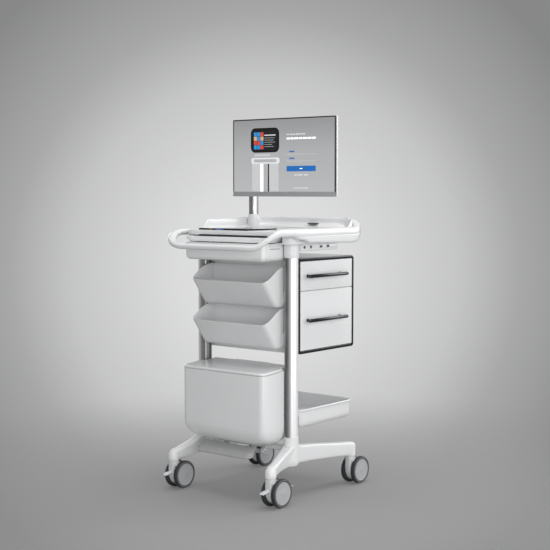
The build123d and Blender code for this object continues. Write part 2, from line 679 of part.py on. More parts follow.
lid_plane = Plane(origin=(0, WASTE_FRONT, WASTE_TOP_FRONT), x_dir=(1, 0, 0),
                  z_dir=(0, -math.sin(lid_slope), math.cos(lid_slope)))
LID_D = (WASTE_BACK - WASTE_FRONT) / math.cos(lid_slope)
with BuildPart() as waste_bin_lid:
    with BuildSketch(lid_plane):
        with BuildLine():
            FilletPolyline((-WASTE_HALF - 1, -1), (WASTE_HALF + 1, -1),
                           (WASTE_HALF + 1, WASTE_LID_STEP - WASTE_FRONT), (WASTE_NECK, WASTE_LID_STEP - WASTE_FRONT + 4),
                           (WASTE_NECK, LID_D), (-WASTE_NECK, LID_D),
                           (-WASTE_NECK, WASTE_LID_STEP - WASTE_FRONT + 4), (-WASTE_HALF - 1, WASTE_LID_STEP - WASTE_FRONT),
                           radius=[19, 19, 3, 3, 3, 3, 3, 3], close=True)
        make_face()
    extrude(amount=LID_T)
    # hinge barrel and web
    with BuildSketch(yz(0)):
        with BuildLine():
            Polyline((WASTE_BACK - 2, WASTE_TOP_BACK + 1), (WASTE_BACK - 2, WASTE_TOP_BACK + 8),
                     (LID_AXIS_Y, LID_AXIS_Z + 6.9), (LID_AXIS_Y, LID_AXIS_Z), close=True)
        make_face()
        with Locations((LID_AXIS_Y, LID_AXIS_Z)):
            Circle(7)
    extrude(amount=80, both=True)
    with BuildSketch(yz(0)):
        with Locations((LID_AXIS_Y, LID_AXIS_Z)):
            Circle(4 + RUN)
    extrude(amount=90, both=True, mode=Mode.SUBTRACT)
waste_bin_lid.part.label = "waste_bin_lid"
export_step(waste_bin_lid.part, "parts/waste_bin_lid.step")

# two identical steel pins: lid hinge and pedal pivot
with BuildPart() as hinge_pins:
    with BuildSketch(yz(0)):
        with Locations((LID_AXIS_Y, LID_AXIS_Z), (PEDAL_AXIS_Y, PEDAL_AXIS_Z)):
            Circle(4)
    extrude(amount=98, both=True)
hinge_pins.part.label = "hinge_pins"
export_step(hinge_pins.part, "parts/hinge_pins.step")

with BuildPart() as foot_pedal:
    # bowed treadle
    with BuildSketch(yz(0)):
        with BuildLine():
            Polyline((-198, 188), (-222, 176), (-243, 158.5), (-243, 154), (-221, 171), (-196, 183), close=True)
        make_face()
    extrude(amount=130, both=True)
    with BuildSketch(Plane.XY.offset(140)):
        with BuildLine():
            FilletPolyline((-130, -243), (130, -243), (117, -196), (-117, -196),
                           radius=[20, 20, 4, 4], close=True)
        make_face()
    extrude(amount=60, mode=Mode.INTERSECT)
    # arms back to the pivot
    for side in (-1, 1):
        with BuildSketch(yz(side * 62)):
            with BuildLine():
                Polyline((-200, 184), (-190, 188), (-176, 184), (-126, 164.5), (-118, 152), (-130, 151),
                         (-182, 173), (-198, 179), close=True)
            make_face()
        extrude(amount=side * 14)
    with BuildSketch(yz(0)):
        with Locations((PEDAL_AXIS_Y, PEDAL_AXIS_Z)):
            Circle(8)
    extrude(amount=80, both=True)
    with BuildSketch(yz(0)):
        with Locations((PEDAL_AXIS_Y, PEDAL_AXIS_Z)):
            Circle(4 + RUN)
    extrude(amount=90, both=True, mode=Mode.SUBTRACT)
foot_pedal.part.label = "foot_pedal"
export_step(foot_pedal.part, "parts/foot_pedal.step")

# ---------------------------------------------------------------- drawer cabinet
with BuildPart() as drawer_cabinet:
    with BuildSketch(yz(-CAB_X)):
        with Locations(((CAB_Y0 + CAB_Y1) / 2, (CAB_Z0 + CAB_Z1) / 2)):
            RectangleRounded(CAB_Y1 - CAB_Y0, CAB_Z1 - CAB_Z0, 12)
    extrude(amount=2 * CAB_X - 6)
    with BuildSketch(yz(-CAB_X + 6)):
        with Locations(((CAB_Y0 + CAB_Y1) / 2, (CAB_MID + 1.5 + CAB_Z1 - 7) / 2)):
            Rectangle(CAB_Y1 - CAB_Y0 - 14, CAB_Z1 - 7 - CAB_MID - 1.5)
        with Locations(((CAB_Y0 + CAB_Y1) / 2, (CAB_MID - 1.5 + CAB_Z0 + 7) / 2)):
            Rectangle(CAB_Y1 - CAB_Y0 - 14, CAB_MID - 1.5 - CAB_Z0 - 7)
    extrude(amount=2 * CAB_X, mode=Mode.SUBTRACT)
drawer_cabinet.part.label = "drawer_cabinet"
export_step(drawer_cabinet.part, "parts/drawer_cabinet.step")

with BuildPart() as cabinet_trim:
    with BuildSketch(yz(CAB_X - 6)):
        with Locations(((CAB_Y0 + CAB_Y1) / 2, (CAB_Z0 + CAB_Z1) / 2)):
            RectangleRounded(CAB_Y1 - CAB_Y0, CAB_Z1 - CAB_Z0, 12)
            RectangleRounded(CAB_Y1 - CAB_Y0 - 22, CAB_Z1 - CAB_Z0 - 22, 4, mode=Mode.SUBTRACT)
    extrude(amount=6)
cabinet_trim.part.label = "cabinet_trim"
export_step(cabinet_trim.part, "parts/cabinet_trim.step")

DY0, DY1 = CAB_Y0 + 11.5, CAB_Y1 - 11.5
DRAWERS = (
    ("drawer_upper", CAB_MID + 0.75, CAB_Z1 - 11.5, 782.0, "drawer_handle_upper"),
    ("drawer_lower", CAB_Z0 + 11.5, CAB_MID - 0.75, 626.0, "drawer_handle_lower"),
)
for dname, z0, z1, hz, hname in DRAWERS:
    with BuildPart() as drawer:
        # front panel
        with BuildSketch(yz(CAB_X - 5.5)):
            with Locations(((DY0 + DY1) / 2, (z0 + z1) / 2)):
                RectangleRounded(DY1 - DY0, z1 - z0, 3.5)
        extrude(amount=5)
        # box
        with BuildSketch(Plane.XY.offset(z0 + 10)):
            with Locations((12, (DY0 + DY1) / 2)):
                Rectangle(395, DY1 - DY0 - 26)
        extrude(amount=z1 - z0 - 24)
        with BuildSketch(Plane.XY.offset(z0 + 13)):
            with Locations((10, (DY0 + DY1) / 2)):
                Rectangle(386, DY1 - DY0 - 30)
        extrude(amount=z1 - z0, mode=Mode.SUBTRACT)
    drawer.part.label = dname
    export_step(drawer.part, "parts/" + dname + ".step")

    with BuildPart() as drawer_handle:
        with BuildSketch(xz(-47)):
            with Locations((237.0, hz)):
                Circle(5.5)
        extrude(amount=-228)
        ends = drawer_handle.faces().filter_by(Axis.Y).edges()
        fillet(ends, radius=3)
        for py in (-28, 162):
            with BuildSketch(yz(CAB_X - 0.5)):
                with Locations((py, hz)):
                    Circle(4)
            extrude(amount=23)
    drawer_handle.part.label = hname
    export_step(drawer_handle.part, "parts/" + hname + ".step")

with BuildPart() as drawer_slides:
    for sz, sh in ((CAB_MID + 40, 26), (CAB_Z0 + 100, 36)):
        for ya, yb in ((CAB_Y0 + 7, DY0 + 13 - 0.1), (DY1 - 13 + 0.1, CAB_Y1 - 7)):
            with BuildSketch(yz(-170)):
                with Locations(((ya + yb) / 2, sz)):
                    Rectangle(yb - ya, sh)
            extrude(amount=360)
drawer_slides.part.label = "drawer_slides"
export_step(drawer_slides.part, "parts/drawer_slides.step")

# ---------------------------------------------------------------- lower tray
with BuildPart() as lower_tray:
    with BuildSketch(Plane.XY.offset(LTRAY_Z0)):
        with Locations((0, (LTRAY_Y0 + LTRAY_Y1) / 2)):
            RectangleRounded(2 * CAB_X, LTRAY_Y1 - LTRAY_Y0, 32)
    extrude(amount=LTRAY_Z1 - LTRAY_Z0)
    foot = lower_tray.faces().sort_by(Axis.Z)[0].edges()
    fillet(foot, radius=8)
    with BuildSketch(Plane.XY.offset(LTRAY_Z0 + 4)):
        with Locations((0, (LTRAY_Y0 + LTRAY_Y1) / 2)):
            RectangleRounded(2 * CAB_X - 8, LTRAY_Y1 - LTRAY_Y0 - 8, 28)
    extrude(amount=LTRAY_Z1, mode=Mode.SUBTRACT)
lower_tray.part.label = "lower_tray"
export_step(lower_tray.part, "parts/lower_tray.step")

# ---------------------------------------------------------------- monitor and its stand
with BuildPart() as monitor_pole:
    with BuildSketch(Plane.XY.offset(DECK_TOP)):
        with Locations((POLE_X, POLE_Y)):
            Circle(POLE_R)
            Circle(POLE_R - 2.5, mode=Mode.SUBTRACT)
    extrude(amount=POLE_TOP - DECK_TOP)
    with BuildSketch(Plane.XY.offset(POLE_TOP - 3)):
        with Locations((POLE_X, POLE_Y)):
            Circle(POLE_R)
    extrude(amount=5)
monitor_pole.part.label = "monitor_pole"
export_step(monitor_pole.part, "parts/monitor_pole.step")

with BuildPart() as pole_collar:
    with BuildSketch(Plane.XY.offset(DECK_TOP)):
        with Locations((POLE_X, POLE_Y)):
            Circle(21)
            Circle(POLE_R, mode=Mode.SUBTRACT)
    extrude(amount=54)
pole_collar.part.label = "pole_collar"
export_step(pole_collar.part, "parts/pole_collar.step")

arm_vec = Vector(-POLE_X, HEAD_Y - POLE_Y, 0)
with BuildPart() as monitor_arm:
    with BuildSketch(Plane.XY.offset(MON_CZ - 22)):
        with Locations((POLE_X, POLE_Y)):
            Circle(26)
    extrude(amount=44)
    with BuildSketch(Plane.XY.offset(MON_CZ - 10)):
        with BuildLine():
            Polyline((POLE_X, POLE_Y - 15), (0, HEAD_Y - 12), (0, HEAD_Y + 12), (POLE_X, POLE_Y + 15), close=True)
        make_face()
    extrude(amount=20)
    with BuildSketch(Plane.XY.offset(MON_CZ - 17)):
        with Locations((0, HEAD_Y)):
            Circle(17)
    extrude(amount=34)
    with BuildSketch(Plane.XY.offset(MON_CZ - 40)):
        with Locations((POLE_X, POLE_Y)):
            Circle(POLE_R + RUN)
        with Locations((0, HEAD_Y)):
            Circle(8 + RUN)
    extrude(amount=80, mode=Mode.SUBTRACT)
monitor_arm.part.label = "monitor_arm"
export_step(monitor_arm.part, "parts/monitor_arm.step")

with BuildPart() as monitor_head:
    with BuildSketch(Plane.XY.offset(MON_CZ - 23)):
        with Locations((0, HEAD_Y)):
            Circle(8)
    extrude(amount=46)
    for z0, z1 in ((MON_CZ - 23, MON_CZ - 17.1), (MON_CZ + 17.1, MON_CZ + 23)):
        with BuildSketch(Plane.XY.offset(z0)):
            with Locations((0, HEAD_Y)):
                Circle(14)
            with Locations((0, (HEAD_Y + 139) / 2)):
                Rectangle(28, HEAD_Y - 139)
        extrude(amount=z1 - z0)
    with BuildSketch(Plane.XY.offset(MON_CZ - 23)):
        with Locations((0, 146.5)):
            Rectangle(28, 15)
    extrude(amount=46)
    # tilt knuckle
    with BuildSketch(yz(0)):
        with Locations((TILT_Y, MON_CZ)):
            Circle(9)
        with Locations(((TILT_Y + 140) / 2, MON_CZ)):
            Rectangle(140 - TILT_Y, 18)
    extrude(amount=13.9, both=True)
    with BuildSketch(yz(0)):
        with Locations((TILT_Y, MON_CZ)):
            Circle(4 + RUN)
    extrude(amount=20, both=True, mode=Mode.SUBTRACT)
monitor_head.part.label = "monitor_head"
export_step(monitor_head.part, "parts/monitor_head.step")

with BuildPart() as vesa_plate:
    with BuildSketch(xz(MON_BACK)):
        with Locations((0, MON_CZ)):
            RectangleRounded(116, 116, 6)
            with GridLocations(100, 100, 2, 2):
                Circle(2.2, mode=Mode.SUBTRACT)
    extrude(amount=-4)
    for side in (-1, 1):
        with BuildSketch(yz(side * 14)):
            with Locations((TILT_Y, MON_CZ)):
                Circle(10)
            with Locations(((MON_BACK + 3 + TILT_Y) / 2, MON_CZ)):
                Rectangle(TILT_Y - MON_BACK - 3, 20)
        extrude(amount=side * 8)
    # tilt pin held by the two ears
    with BuildSketch(yz(0)):
        with Locations((TILT_Y, MON_CZ)):
            Circle(4)
    extrude(amount=22, both=True)
vesa_plate.part.label = "vesa_plate"
export_step(vesa_plate.part, "parts/vesa_plate.step")

with BuildPart() as monitor_rear_cover:
    with BuildSketch(xz(MON_FRONT + 6)):
        with Locations((0, MON_CZ)):
            RectangleRounded(2 * MON_HALF - 1, MON_Z1 - MON_Z0 - 1, 5)
    extrude(amount=-(MON_BACK - MON_FRONT - 6))
    back = monitor_rear_cover.faces().sort_by(Axis.Y)[-1].edges()
    fillet(back, radius=4)
monitor_rear_cover.part.label = "monitor_rear_cover"
export_step(monitor_rear_cover.part, "parts/monitor_rear_cover.step")

SCR_Z0, SCR_Z1, SCR_HALF = 1077.0, MON_Z1 - 4.5, MON_HALF - 4.5
with BuildPart() as monitor_bezel:
    with BuildSketch(xz(MON_FRONT)):
        with Locations((0, MON_CZ)):
            RectangleRounded(2 * MON_HALF, MON_Z1 - MON_Z0, 5)
        with Locations((0, (SCR_Z0 + SCR_Z1) / 2)):
            Rectangle(2 * SCR_HALF, SCR_Z1 - SCR_Z0, mode=Mode.SUBTRACT)
    extrude(amount=-6)
monitor_bezel.part.label = "monitor_bezel"
export_step(monitor_bezel.part, "parts/monitor_bezel.step")

with BuildPart() as display_panel:
    with BuildSketch(xz(MON_FRONT + 1)):
        with Locations((0, (SCR_Z0 + SCR_Z1) / 2)):
            Rectangle(2 * SCR_HALF, SCR_Z1 - SCR_Z0)
    extrude(amount=-5)
display_panel.part.label = "display_panel"
export_step(display_panel.part, "parts/display_panel.step")
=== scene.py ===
import bpy, bmesh, math
import numpy as np
from mathutils import Vector, Matrix


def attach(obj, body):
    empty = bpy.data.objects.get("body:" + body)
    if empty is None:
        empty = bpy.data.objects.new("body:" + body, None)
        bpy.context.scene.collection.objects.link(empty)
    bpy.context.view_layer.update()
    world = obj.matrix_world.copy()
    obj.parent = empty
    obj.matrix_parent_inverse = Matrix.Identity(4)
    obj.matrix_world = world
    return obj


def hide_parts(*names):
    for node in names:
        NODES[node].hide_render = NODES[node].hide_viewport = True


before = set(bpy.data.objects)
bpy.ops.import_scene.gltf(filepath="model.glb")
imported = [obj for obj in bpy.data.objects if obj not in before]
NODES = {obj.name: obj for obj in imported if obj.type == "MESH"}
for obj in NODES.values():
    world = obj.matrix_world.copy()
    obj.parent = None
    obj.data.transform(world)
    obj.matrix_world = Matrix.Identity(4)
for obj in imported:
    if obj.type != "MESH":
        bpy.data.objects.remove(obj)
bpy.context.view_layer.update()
MM = 0.001
COL = bpy.context.scene.collection
rad = math.radians


# ------------------------------------------------------------------ materials
def mat_new(name):
    m = bpy.data.materials.new(name)
    m.use_nodes = True
    nt = m.node_tree
    b = nt.nodes["Principled BSDF"]
    return m, nt, b


def link(nt, a, b):
    nt.links.new(a, b)


def noise(nt, scale, detail=3.0, rough=0.55, vec=None):
    n = nt.nodes.new("ShaderNodeTexNoise")
    n.inputs["Scale"].default_value = scale
    n.inputs["Detail"].default_value = detail
    n.inputs["Roughness"].default_value = rough
    if vec is None:
        tc = nt.nodes.new("ShaderNodeTexCoord")
        vec = tc.outputs["Object"]
    link(nt, vec, n.inputs["Vector"])
    return n


def ramp(nt, fac, stops):
    r = nt.nodes.new("ShaderNodeValToRGB")
    el = r.color_ramp.elements
    while len(el) < len(stops):
        el.new(0.5)
    for e, (p, c) in zip(el, stops):
        e.position = p
        e.color = (*c, 1.0) if len(c) == 3 else c
    link(nt, fac, r.inputs["Fac"])
    return r


def shade(c, k):
    return tuple(min(1.0, v * k) for v in c)


def plastic(name, color, rough=0.3, var=0.02, peel=0.02, peel_scale=420.0, grain=0.0, coat=0.0, spec=0.5, metallic=0.0):
    """Moulded plastic or paint: slow tone drift, roughness drift, orange peel, optional fine grain."""
    m, nt, b = mat_new(name)
    n1 = noise(nt, 7.0, 2.0)
    r = ramp(nt, n1.outputs["Fac"], [(0.3, shade(color, 1 - var)), (0.7, shade(color, 1 + var))])
    link(nt, r.outputs["Color"], b.inputs["Base Color"])
    n2 = noise(nt, 34.0, 4.0)
    mr = nt.nodes.new("ShaderNodeMapRange")
    mr.inputs["To Min"].default_value = rough * 0.85
    mr.inputs["To Max"].default_value = rough * 1.18
    link(nt, n2.outputs["Fac"], mr.inputs["Value"])
    link(nt, mr.outputs["Result"], b.inputs["Roughness"])
    n3 = noise(nt, peel_scale, 1.5)
    bump = nt.nodes.new("ShaderNodeBump")
    bump.inputs["Strength"].default_value = peel
    bump.inputs["Distance"].default_value = 0.0006
    link(nt, n3.outputs["Fac"], bump.inputs["Height"])
    last = bump
    if grain:
        v = nt.nodes.new("ShaderNodeTexVoronoi")
        v.inputs["Scale"].default_value = 1400.0
        tc = nt.nodes.new("ShaderNodeTexCoord")
        link(nt, tc.outputs["Object"], v.inputs["Vector"])
        b2 = nt.nodes.new("ShaderNodeBump")
        b2.inputs["Strength"].default_value = grain
        b2.inputs["Distance"].default_value = 0.0003
        link(nt, v.outputs["Distance"], b2.inputs["Height"])
        link(nt, bump.outputs["Normal"], b2.inputs["Normal"])
        last = b2
    link(nt, last.outputs["Normal"], b.inputs["Normal"])
    b.inputs["Metallic"].default_value = metallic
    b.inputs["Specular IOR Level"].default_value = spec
    if coat:
        b.inputs["Coat Weight"].default_value = coat
        b.inputs["Coat Roughness"].default_value = 0.06
    return m


def metal(name, color, rough, streak=0.0, axis="Z", var=0.05):
    m, nt, b = mat_new(name)
    b.inputs["Metallic"].default_value = 1.0
    tc = nt.nodes.new("ShaderNodeTexCoord")
    mp = nt.nodes.new("ShaderNodeMapping")
    sc = {"X": (2, 260, 260), "Y": (260, 2, 260), "Z": (260, 260, 2)}[axis]
    mp.inputs["Scale"].default_value = sc
    link(nt, tc.outputs["Object"], mp.inputs["Vector"])
    n = noise(nt, 1.0, 5.0, 0.6, vec=mp.outputs["Vector"])
    r = ramp(nt, n.outputs["Fac"], [(0.3, shade(color, 1 - var)), (0.7, shade(color, 1 + var))])
    link(nt, r.outputs["Color"], b.inputs["Base Color"])
    n2 = noise(nt, 60.0, 4.0)
    mr = nt.nodes.new("ShaderNodeMapRange")
    mr.inputs["To Min"].default_value = rough * 0.75
    mr.inputs["To Max"].default_value = rough * 1.3
    link(nt, n2.outputs["Fac"], mr.inputs["Value"])
    link(nt, mr.outputs["Result"], b.inputs["Roughness"])
    if streak:
        bump = nt.nodes.new("ShaderNodeBump")
        bump.inputs["Strength"].default_value = streak
        bump.inputs["Distance"].default_value = 0.0002
        link(nt, n.outputs["Fac"], bump.inputs["Height"])
        link(nt, bump.outputs["Normal"], b.inputs["Normal"])
    return m


def flat(name, color, rough=0.5, emit=0.0, spec=0.4):
    """Printed or lit area on the display: a faint fine dot pattern keeps it from being one flat tone."""
    m, nt, b = mat_new(name)
    n = noise(nt, 900.0, 1.0)
    r = ramp(nt, n.outputs["Fac"], [(0.35, shade(color, 0.97)), (0.65, shade(color, 1.03))])
    link(nt, r.outputs["Color"], b.inputs["Base Color"])
    b.inputs["Roughness"].default_value = rough
    b.inputs["Specular IOR Level"].default_value = spec
    if emit:
        link(nt, r.outputs["Color"], b.inputs["Emission Color"])
        b.inputs["Emission Strength"].default_value = emit
    return m


WHITE = plastic("white_gloss", (0.80, 0.805, 0.81), 0.22, 0.012, 0.015, 380.0, coat=0.35)
WHITE_SATIN = plastic("white_satin", (0.78, 0.785, 0.79), 0.36, 0.015, 0.03, 520.0, grain=0.04)
CAST = plastic("white_powder_coat", (0.80, 0.805, 0.81), 0.30, 0.015, 0.06, 640.0, coat=0.2)
CHROME = metal("chrome", (0.86, 0.865, 0.875), 0.075, 0.0, "Z", 0.015)


def tube_painted_reflection(name, stops, rough=0.09, metallic=0.35):
    """Polished tube with painted reflection and shade: its base colour runs round it in soft vertical bands set by
    which way the surface faces, standing in for the light and dark walls a plated tube mirrors.
    """
    m, nt, b = mat_new(name)
    b.inputs["Metallic"].default_value = metallic
    tc = nt.nodes.new("ShaderNodeTexCoord")
    sp = nt.nodes.new("ShaderNodeSeparateXYZ")
    link(nt, tc.outputs["Normal"], sp.inputs["Vector"])
    at = nt.nodes.new("ShaderNodeMath"); at.operation = "ARCTAN2"
    link(nt, sp.outputs["Y"], at.inputs[0]); link(nt, sp.outputs["X"], at.inputs[1])
    mr = nt.nodes.new("ShaderNodeMapRange")
    mr.inputs["From Min"].default_value = -math.pi
    mr.inputs["From Max"].default_value = math.pi
    link(nt, at.outputs["Value"], mr.inputs["Value"])
    r = ramp(nt, mr.outputs["Result"], [((a + 180.0) / 360.0, (v, v, v * 1.01)) for a, v in stops])
    n = noise(nt, 90.0, 4.0)
    mx = nt.nodes.new("ShaderNodeMix"); mx.data_type = "RGBA"; mx.blend_type = "MULTIPLY"
    mx.inputs[0].default_value = 0.02
    link(nt, r.outputs["Color"], mx.inputs[6]); link(nt, n.outputs["Color"], mx.inputs[7])
    link(nt, mx.outputs[2], b.inputs["Base Color"])
    m2 = nt.nodes.new("ShaderNodeMapRange")
    m2.inputs["To Min"].default_value = rough * 0.96
    m2.inputs["To Max"].default_value = rough * 1.06
    link(nt, n.outputs["Fac"], m2.inputs["Value"])
    link(nt, m2.outputs["Result"], b.inputs["Roughness"])
    return m


# painted reflection and shade: each ramp stop darkens or lightens the tube's colour by the direction its surface faces
COL_R = tube_painted_reflection("plated_tube_right_painted_reflection", [(-180, 0.5), (-135, 0.6), (-118, 0.38), (-103, 0.13), (-89, 0.15), (-78, 0.25), (-69, 0.40), (-60, 0.62), (-51, 0.84), (-42, 0.96), (-30, 1.0), (60, 1.0), (85, 0.6), (110, 0.7), (150, 0.9), (180, 0.5)], 0.28)
COL_L = tube_painted_reflection("plated_tube_left_painted_reflection", [(-180, 0.8), (-125, 0.95), (-109, 0.95), (-95, 0.70), (-84, 0.34), (-73, 0.25), (-64, 0.24), (-56, 0.08), (-46, 0.36), (-38, 0.29), (-29, 0.22), (-18, 0.28), (-7, 0.13), (20, 0.13), (40, 0.5), (85, 0.3), (110, 0.7), (180, 0.8)], 0.28)
COL_P = tube_painted_reflection("plated_tube_pole_painted_reflection", [(-180, 0.9), (-130, 0.4), (-106, 0.26), (-88, 0.27), (-73, 0.16), (-60, 0.34), (-47, 0.9), (-34, 1.0), (-18, 1.0), (-4, 0.38), (21, 0.10), (40, 0.5), (90, 0.9), (130, 0.5), (180, 0.9)], 0.25)
# chrome darkened to near-black: painted dark reflection standing in for the dim surroundings the trim and handles
# mirror
CHROME_Y = metal("chrome_bar_painted_dark_reflection", (0.075, 0.077, 0.082), 0.16, 0.0, "Y", 0.03)
STEEL = metal("brushed_steel", (0.62, 0.63, 0.65), 0.30, 0.06, "X", 0.08)
ALU = metal("satin_aluminium", (0.70, 0.71, 0.73), 0.34, 0.03, "X", 0.04)
# grey slot insert: painted shade for the inside of the rear slot
SLOT = plastic("slot_painted_shade", (0.10, 0.10, 0.103), 0.5, 0.02, 0.03, 600.0, grain=0.05)
# pedal plastic darkened to grey: painted shade standing in for the waste bin's shadow over the pedal
PEDAL_MAT = plastic("pedal_gloss_painted_shade", (0.40, 0.402, 0.406), 0.26, 0.02, 0.02, 500.0, grain=0.03)
GREY = plastic("caster_grey", (0.62, 0.63, 0.645), 0.34, 0.03, 0.05, 700.0, grain=0.06)
HUB = plastic("hub_grey", (0.44, 0.445, 0.455), 0.42, 0.03, 0.05, 700.0, grain=0.08)
TYRE = plastic("tyre_rubber", (0.035, 0.036, 0.038), 0.55, 0.10, 0.10, 900.0, grain=0.12)
TYRE_BAND = plastic("tyre_band", (0.20, 0.203, 0.208), 0.5, 0.08, 0.08, 900.0, grain=0.1)
TAB = plastic("treadle_grey", (0.72, 0.725, 0.735), 0.35, 0.03, 0.05, 700.0, grain=0.06)
BLACK_GLASS = plastic("black_glass", (0.010, 0.011, 0.013), 0.07, 0.05, 0.004, 60.0, coat=0.6)
DARK = plastic("dark_plastic", (0.03, 0.031, 0.034), 0.45, 0.08, 0.06, 700.0, grain=0.1)
KEYS = plastic("key_silicone", (0.62, 0.63, 0.65), 0.55, 0.03, 0.05, 800.0, grain=0.1)
SILVER = plastic("monitor_silver", (0.34, 0.343, 0.35), 0.34, 0.02, 0.03, 700.0, grain=0.05)
BEZEL = plastic("bezel_dark", (0.022, 0.023, 0.025), 0.30, 0.05, 0.02, 700.0)
SEAM = plastic("seam_shadow", (0.16, 0.162, 0.168), 0.6, 0.05, 0.03, 600.0)


# ------------------------------------------------------------------ mesh helpers (all input in millimetres)
def finish_obj(name, bm, mats, body, replaces=(), sharp=40.0):
    bmesh.ops.remove_doubles(bm, verts=bm.verts[:], dist=1e-6)
    bmesh.ops.recalc_face_normals(bm, faces=bm.faces[:])
    bm.normal_update()
    for f in bm.faces:
        f.smooth = True
    for e in bm.edges:
        if len(e.link_faces) == 2 and e.calc_face_angle(0.0) > rad(sharp):
            e.smooth = False
    me = bpy.data.meshes.new(name)
    bm.to_mesh(me)
    bm.free()
    o = bpy.data.objects.new(name, me)
    COL.objects.link(o)
    for m in (mats if isinstance(mats, (list, tuple)) else [mats]):
        me.materials.append(m)
    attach(o, body)
    if replaces:
        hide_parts(*replaces)
    return o


def V(p):
    return Vector((p[0] * MM, p[1] * MM, p[2] * MM))


def loft(bm, rings, cap=(True, True), mat=0, closed=False):
    """Skin of rings with equal point counts; rings are lists of 3-D points in mm."""
    vs = [[bm.verts.new(V(p)) for p in r] for r in rings]
    n = len(vs[0])
    pairs = list(zip(vs[:-1], vs[1:]))
    if closed:
        pairs.append((vs[-1], vs[0]))
    for a, b in pairs:
        for i in range(n):
            f = bm.faces.new((a[i], a[(i + 1) % n], b[(i + 1) % n], b[i]))
            f.material_index = mat
    if not closed:
        if cap[0]:
            bm.faces.new(vs[0][::-1]).material_index = mat
        if cap[1]:
            bm.faces.new(vs[-1]).material_index = mat
    return vs


def rr(x0, x1, y0, y1, r, seg=8):
    """Rounded rectangle, counter-clockwise, 4*(seg+1) points."""
    r = max(0.05, min(r, (x1 - x0) / 2 - 0.01, (y1 - y0) / 2 - 0.01))
    pts = []
    for cx, cy, a0 in ((x1 - r, y1 - r, 0), (x0 + r, y1 - r, 90), (x0 + r, y0 + r, 180), (x1 - r, y0 + r, 270)):
        for i in range(seg + 1):
            a = rad(a0 + 90.0 * i / seg)
            pts.append((cx + r * math.cos(a), cy + r * math.sin(a)))
    return pts


def rpoly(pts, radii, seg=8):
    """Polygon with rounded corners (2-D)."""
    out = []
    n = len(pts)
    if not isinstance(radii, (list, tuple)):
        radii = [radii] * n
    for i in range(n):
        p = Vector(pts[i]); a = Vector(pts[i - 1]); b = Vector(pts[(i + 1) % n])
        r = radii[i]
        u = (a - p).normalized(); w = (b - p).normalized()
        ang = u.angle(w)
        if r <= 0.01 or abs(ang - math.pi) < 1e-3:
            out += [tuple(p)] * (seg + 1) if r > 0.01 else [tuple(p)]
            continue
        t = min(r / math.tan(ang / 2), (a - p).length * 0.499, (b - p).length * 0.499)
        r = t * math.tan(ang / 2)
        c = p + (u + w).normalized() * (r / math.sin(ang / 2))
        s = p + u * t - c
        e = p + w * t - c
        a0 = math.atan2(s.y, s.x); a1 = math.atan2(e.y, e.x)
        d = (a1 - a0 + math.pi) % (2 * math.pi) - math.pi
        for k in range(seg + 1):
            q = a0 + d * k / seg
            out.append((c.x + r * math.cos(q), c.y + r * math.sin(q)))
    return out


def place(plane, t, ring):
    if plane == "XY":
        return [(a, b, t) for a, b in ring]
    if plane == "YZ":
        return [(t, a, b) for a, b in ring]
    return [(a, t, b) for a, b in ring]


def quarter(r, n=5, start=0):
    """(inset, height) pairs of a rounded edge of radius r: from the flat face out to the side."""
    return [(r - r * math.sin(rad(90.0 * i / n)), r - r * math.cos(rad(90.0 * i / n))) for i in range(n + 1)]


def rstack(bm, plane, rect, r, lo, hi, rlo=2.0, rhi=2.0, seg=8, n=4, mat=0):
    """Rounded box: rounded rectangle pushed from lo to hi with rounded end edges."""
    x0, x1, y0, y1 = rect
    layers = [(i, lo + h) for i, h in quarter(rlo, n)] + [(i, hi - h) for i, h in quarter(rhi, n)[::-1]]
    rings = [place(plane, t, rr(x0 + i, x1 - i, y0 + i, y1 - i, r - i, seg)) for i, t in layers]
    loft(bm, rings, mat=mat)


def disc_stack(bm, plane, centre, layers, seg=48, mat=0, cap=(True, True)):
    """Turned piece: layers are (radius, height) along the plane's normal."""
    rings = []
    for r, t in layers:
        rings.append(place(plane, t, [(centre[0] + r * math.cos(2 * math.pi * i / seg),
                                       centre[1] + r * math.sin(2 * math.pi * i / seg)) for i in range(seg)]))
    loft(bm, rings, cap=cap, mat=mat)


def prism(bm, plane, poly, lo, hi, bev=0.8, n=3, mat=0):
    """Prism of a rounded polygon with small rounded end edges (inset towards its own inside)."""
    P = [Vector(p) for p in poly]
    area = sum(P[i].x * P[(i + 1) % len(P)].y - P[(i + 1) % len(P)].x * P[i].y for i in range(len(P)))
    if area < 0:
        P = P[::-1]
    m = len(P)
    nor = []
    for i in range(m):
        a, b = P[i - 1], P[(i + 1) % m]
        if (P[i] - a).length < 1e-6:
            a = P[i - 2]
        if (P[i] - b).length < 1e-6:
            b = P[(i + 2) % m]
        d1 = (P[i] - a).normalized(); d2 = (b - P[i]).normalized()
        n1 = Vector((-d1.y, d1.x)); n2 = Vector((-d2.y, d2.x))
        s = (n1 + n2)
        s = s / max(0.35, s.length_squared / 2) if s.length > 1e-6 else n1
        nor.append(s)
    layers = [(i, lo + h) for i, h in quarter(bev, n)] + [(i, hi - h) for i, h in quarter(bev, n)[::-1]]
    rings = [place(plane, t, [tuple(P[k] + nor[k] * i) for k in range(m)]) for i, t in layers]
    loft(bm, rings, mat=mat)


def smoothstep(t):
    t = max(0.0, min(1.0, t))
    return t * t * (3 - 2 * t)


def catmull(keys, n):
    """Dense Catmull-Rom through rows of numbers."""
    K = np.array(keys, float)
    K = np.vstack([2 * K[0] - K[1], K, 2 * K[-1] - K[-2]])
    out = []
    for i in range(1, len(K) - 2):
        for k in range(n):
            t = k / n
            p0, p1, p2, p3 = K[i - 1], K[i], K[i + 1], K[i + 2]
            out.append(0.5 * (2 * p1 + (p2 - p0) * t + (2 * p0 - 5 * p1 + 4 * p2 - p3) * t * t + (3 * p1 - p0 - 3 * p2 + p3) * t ** 3))
    out.append(K[-2])
    return out


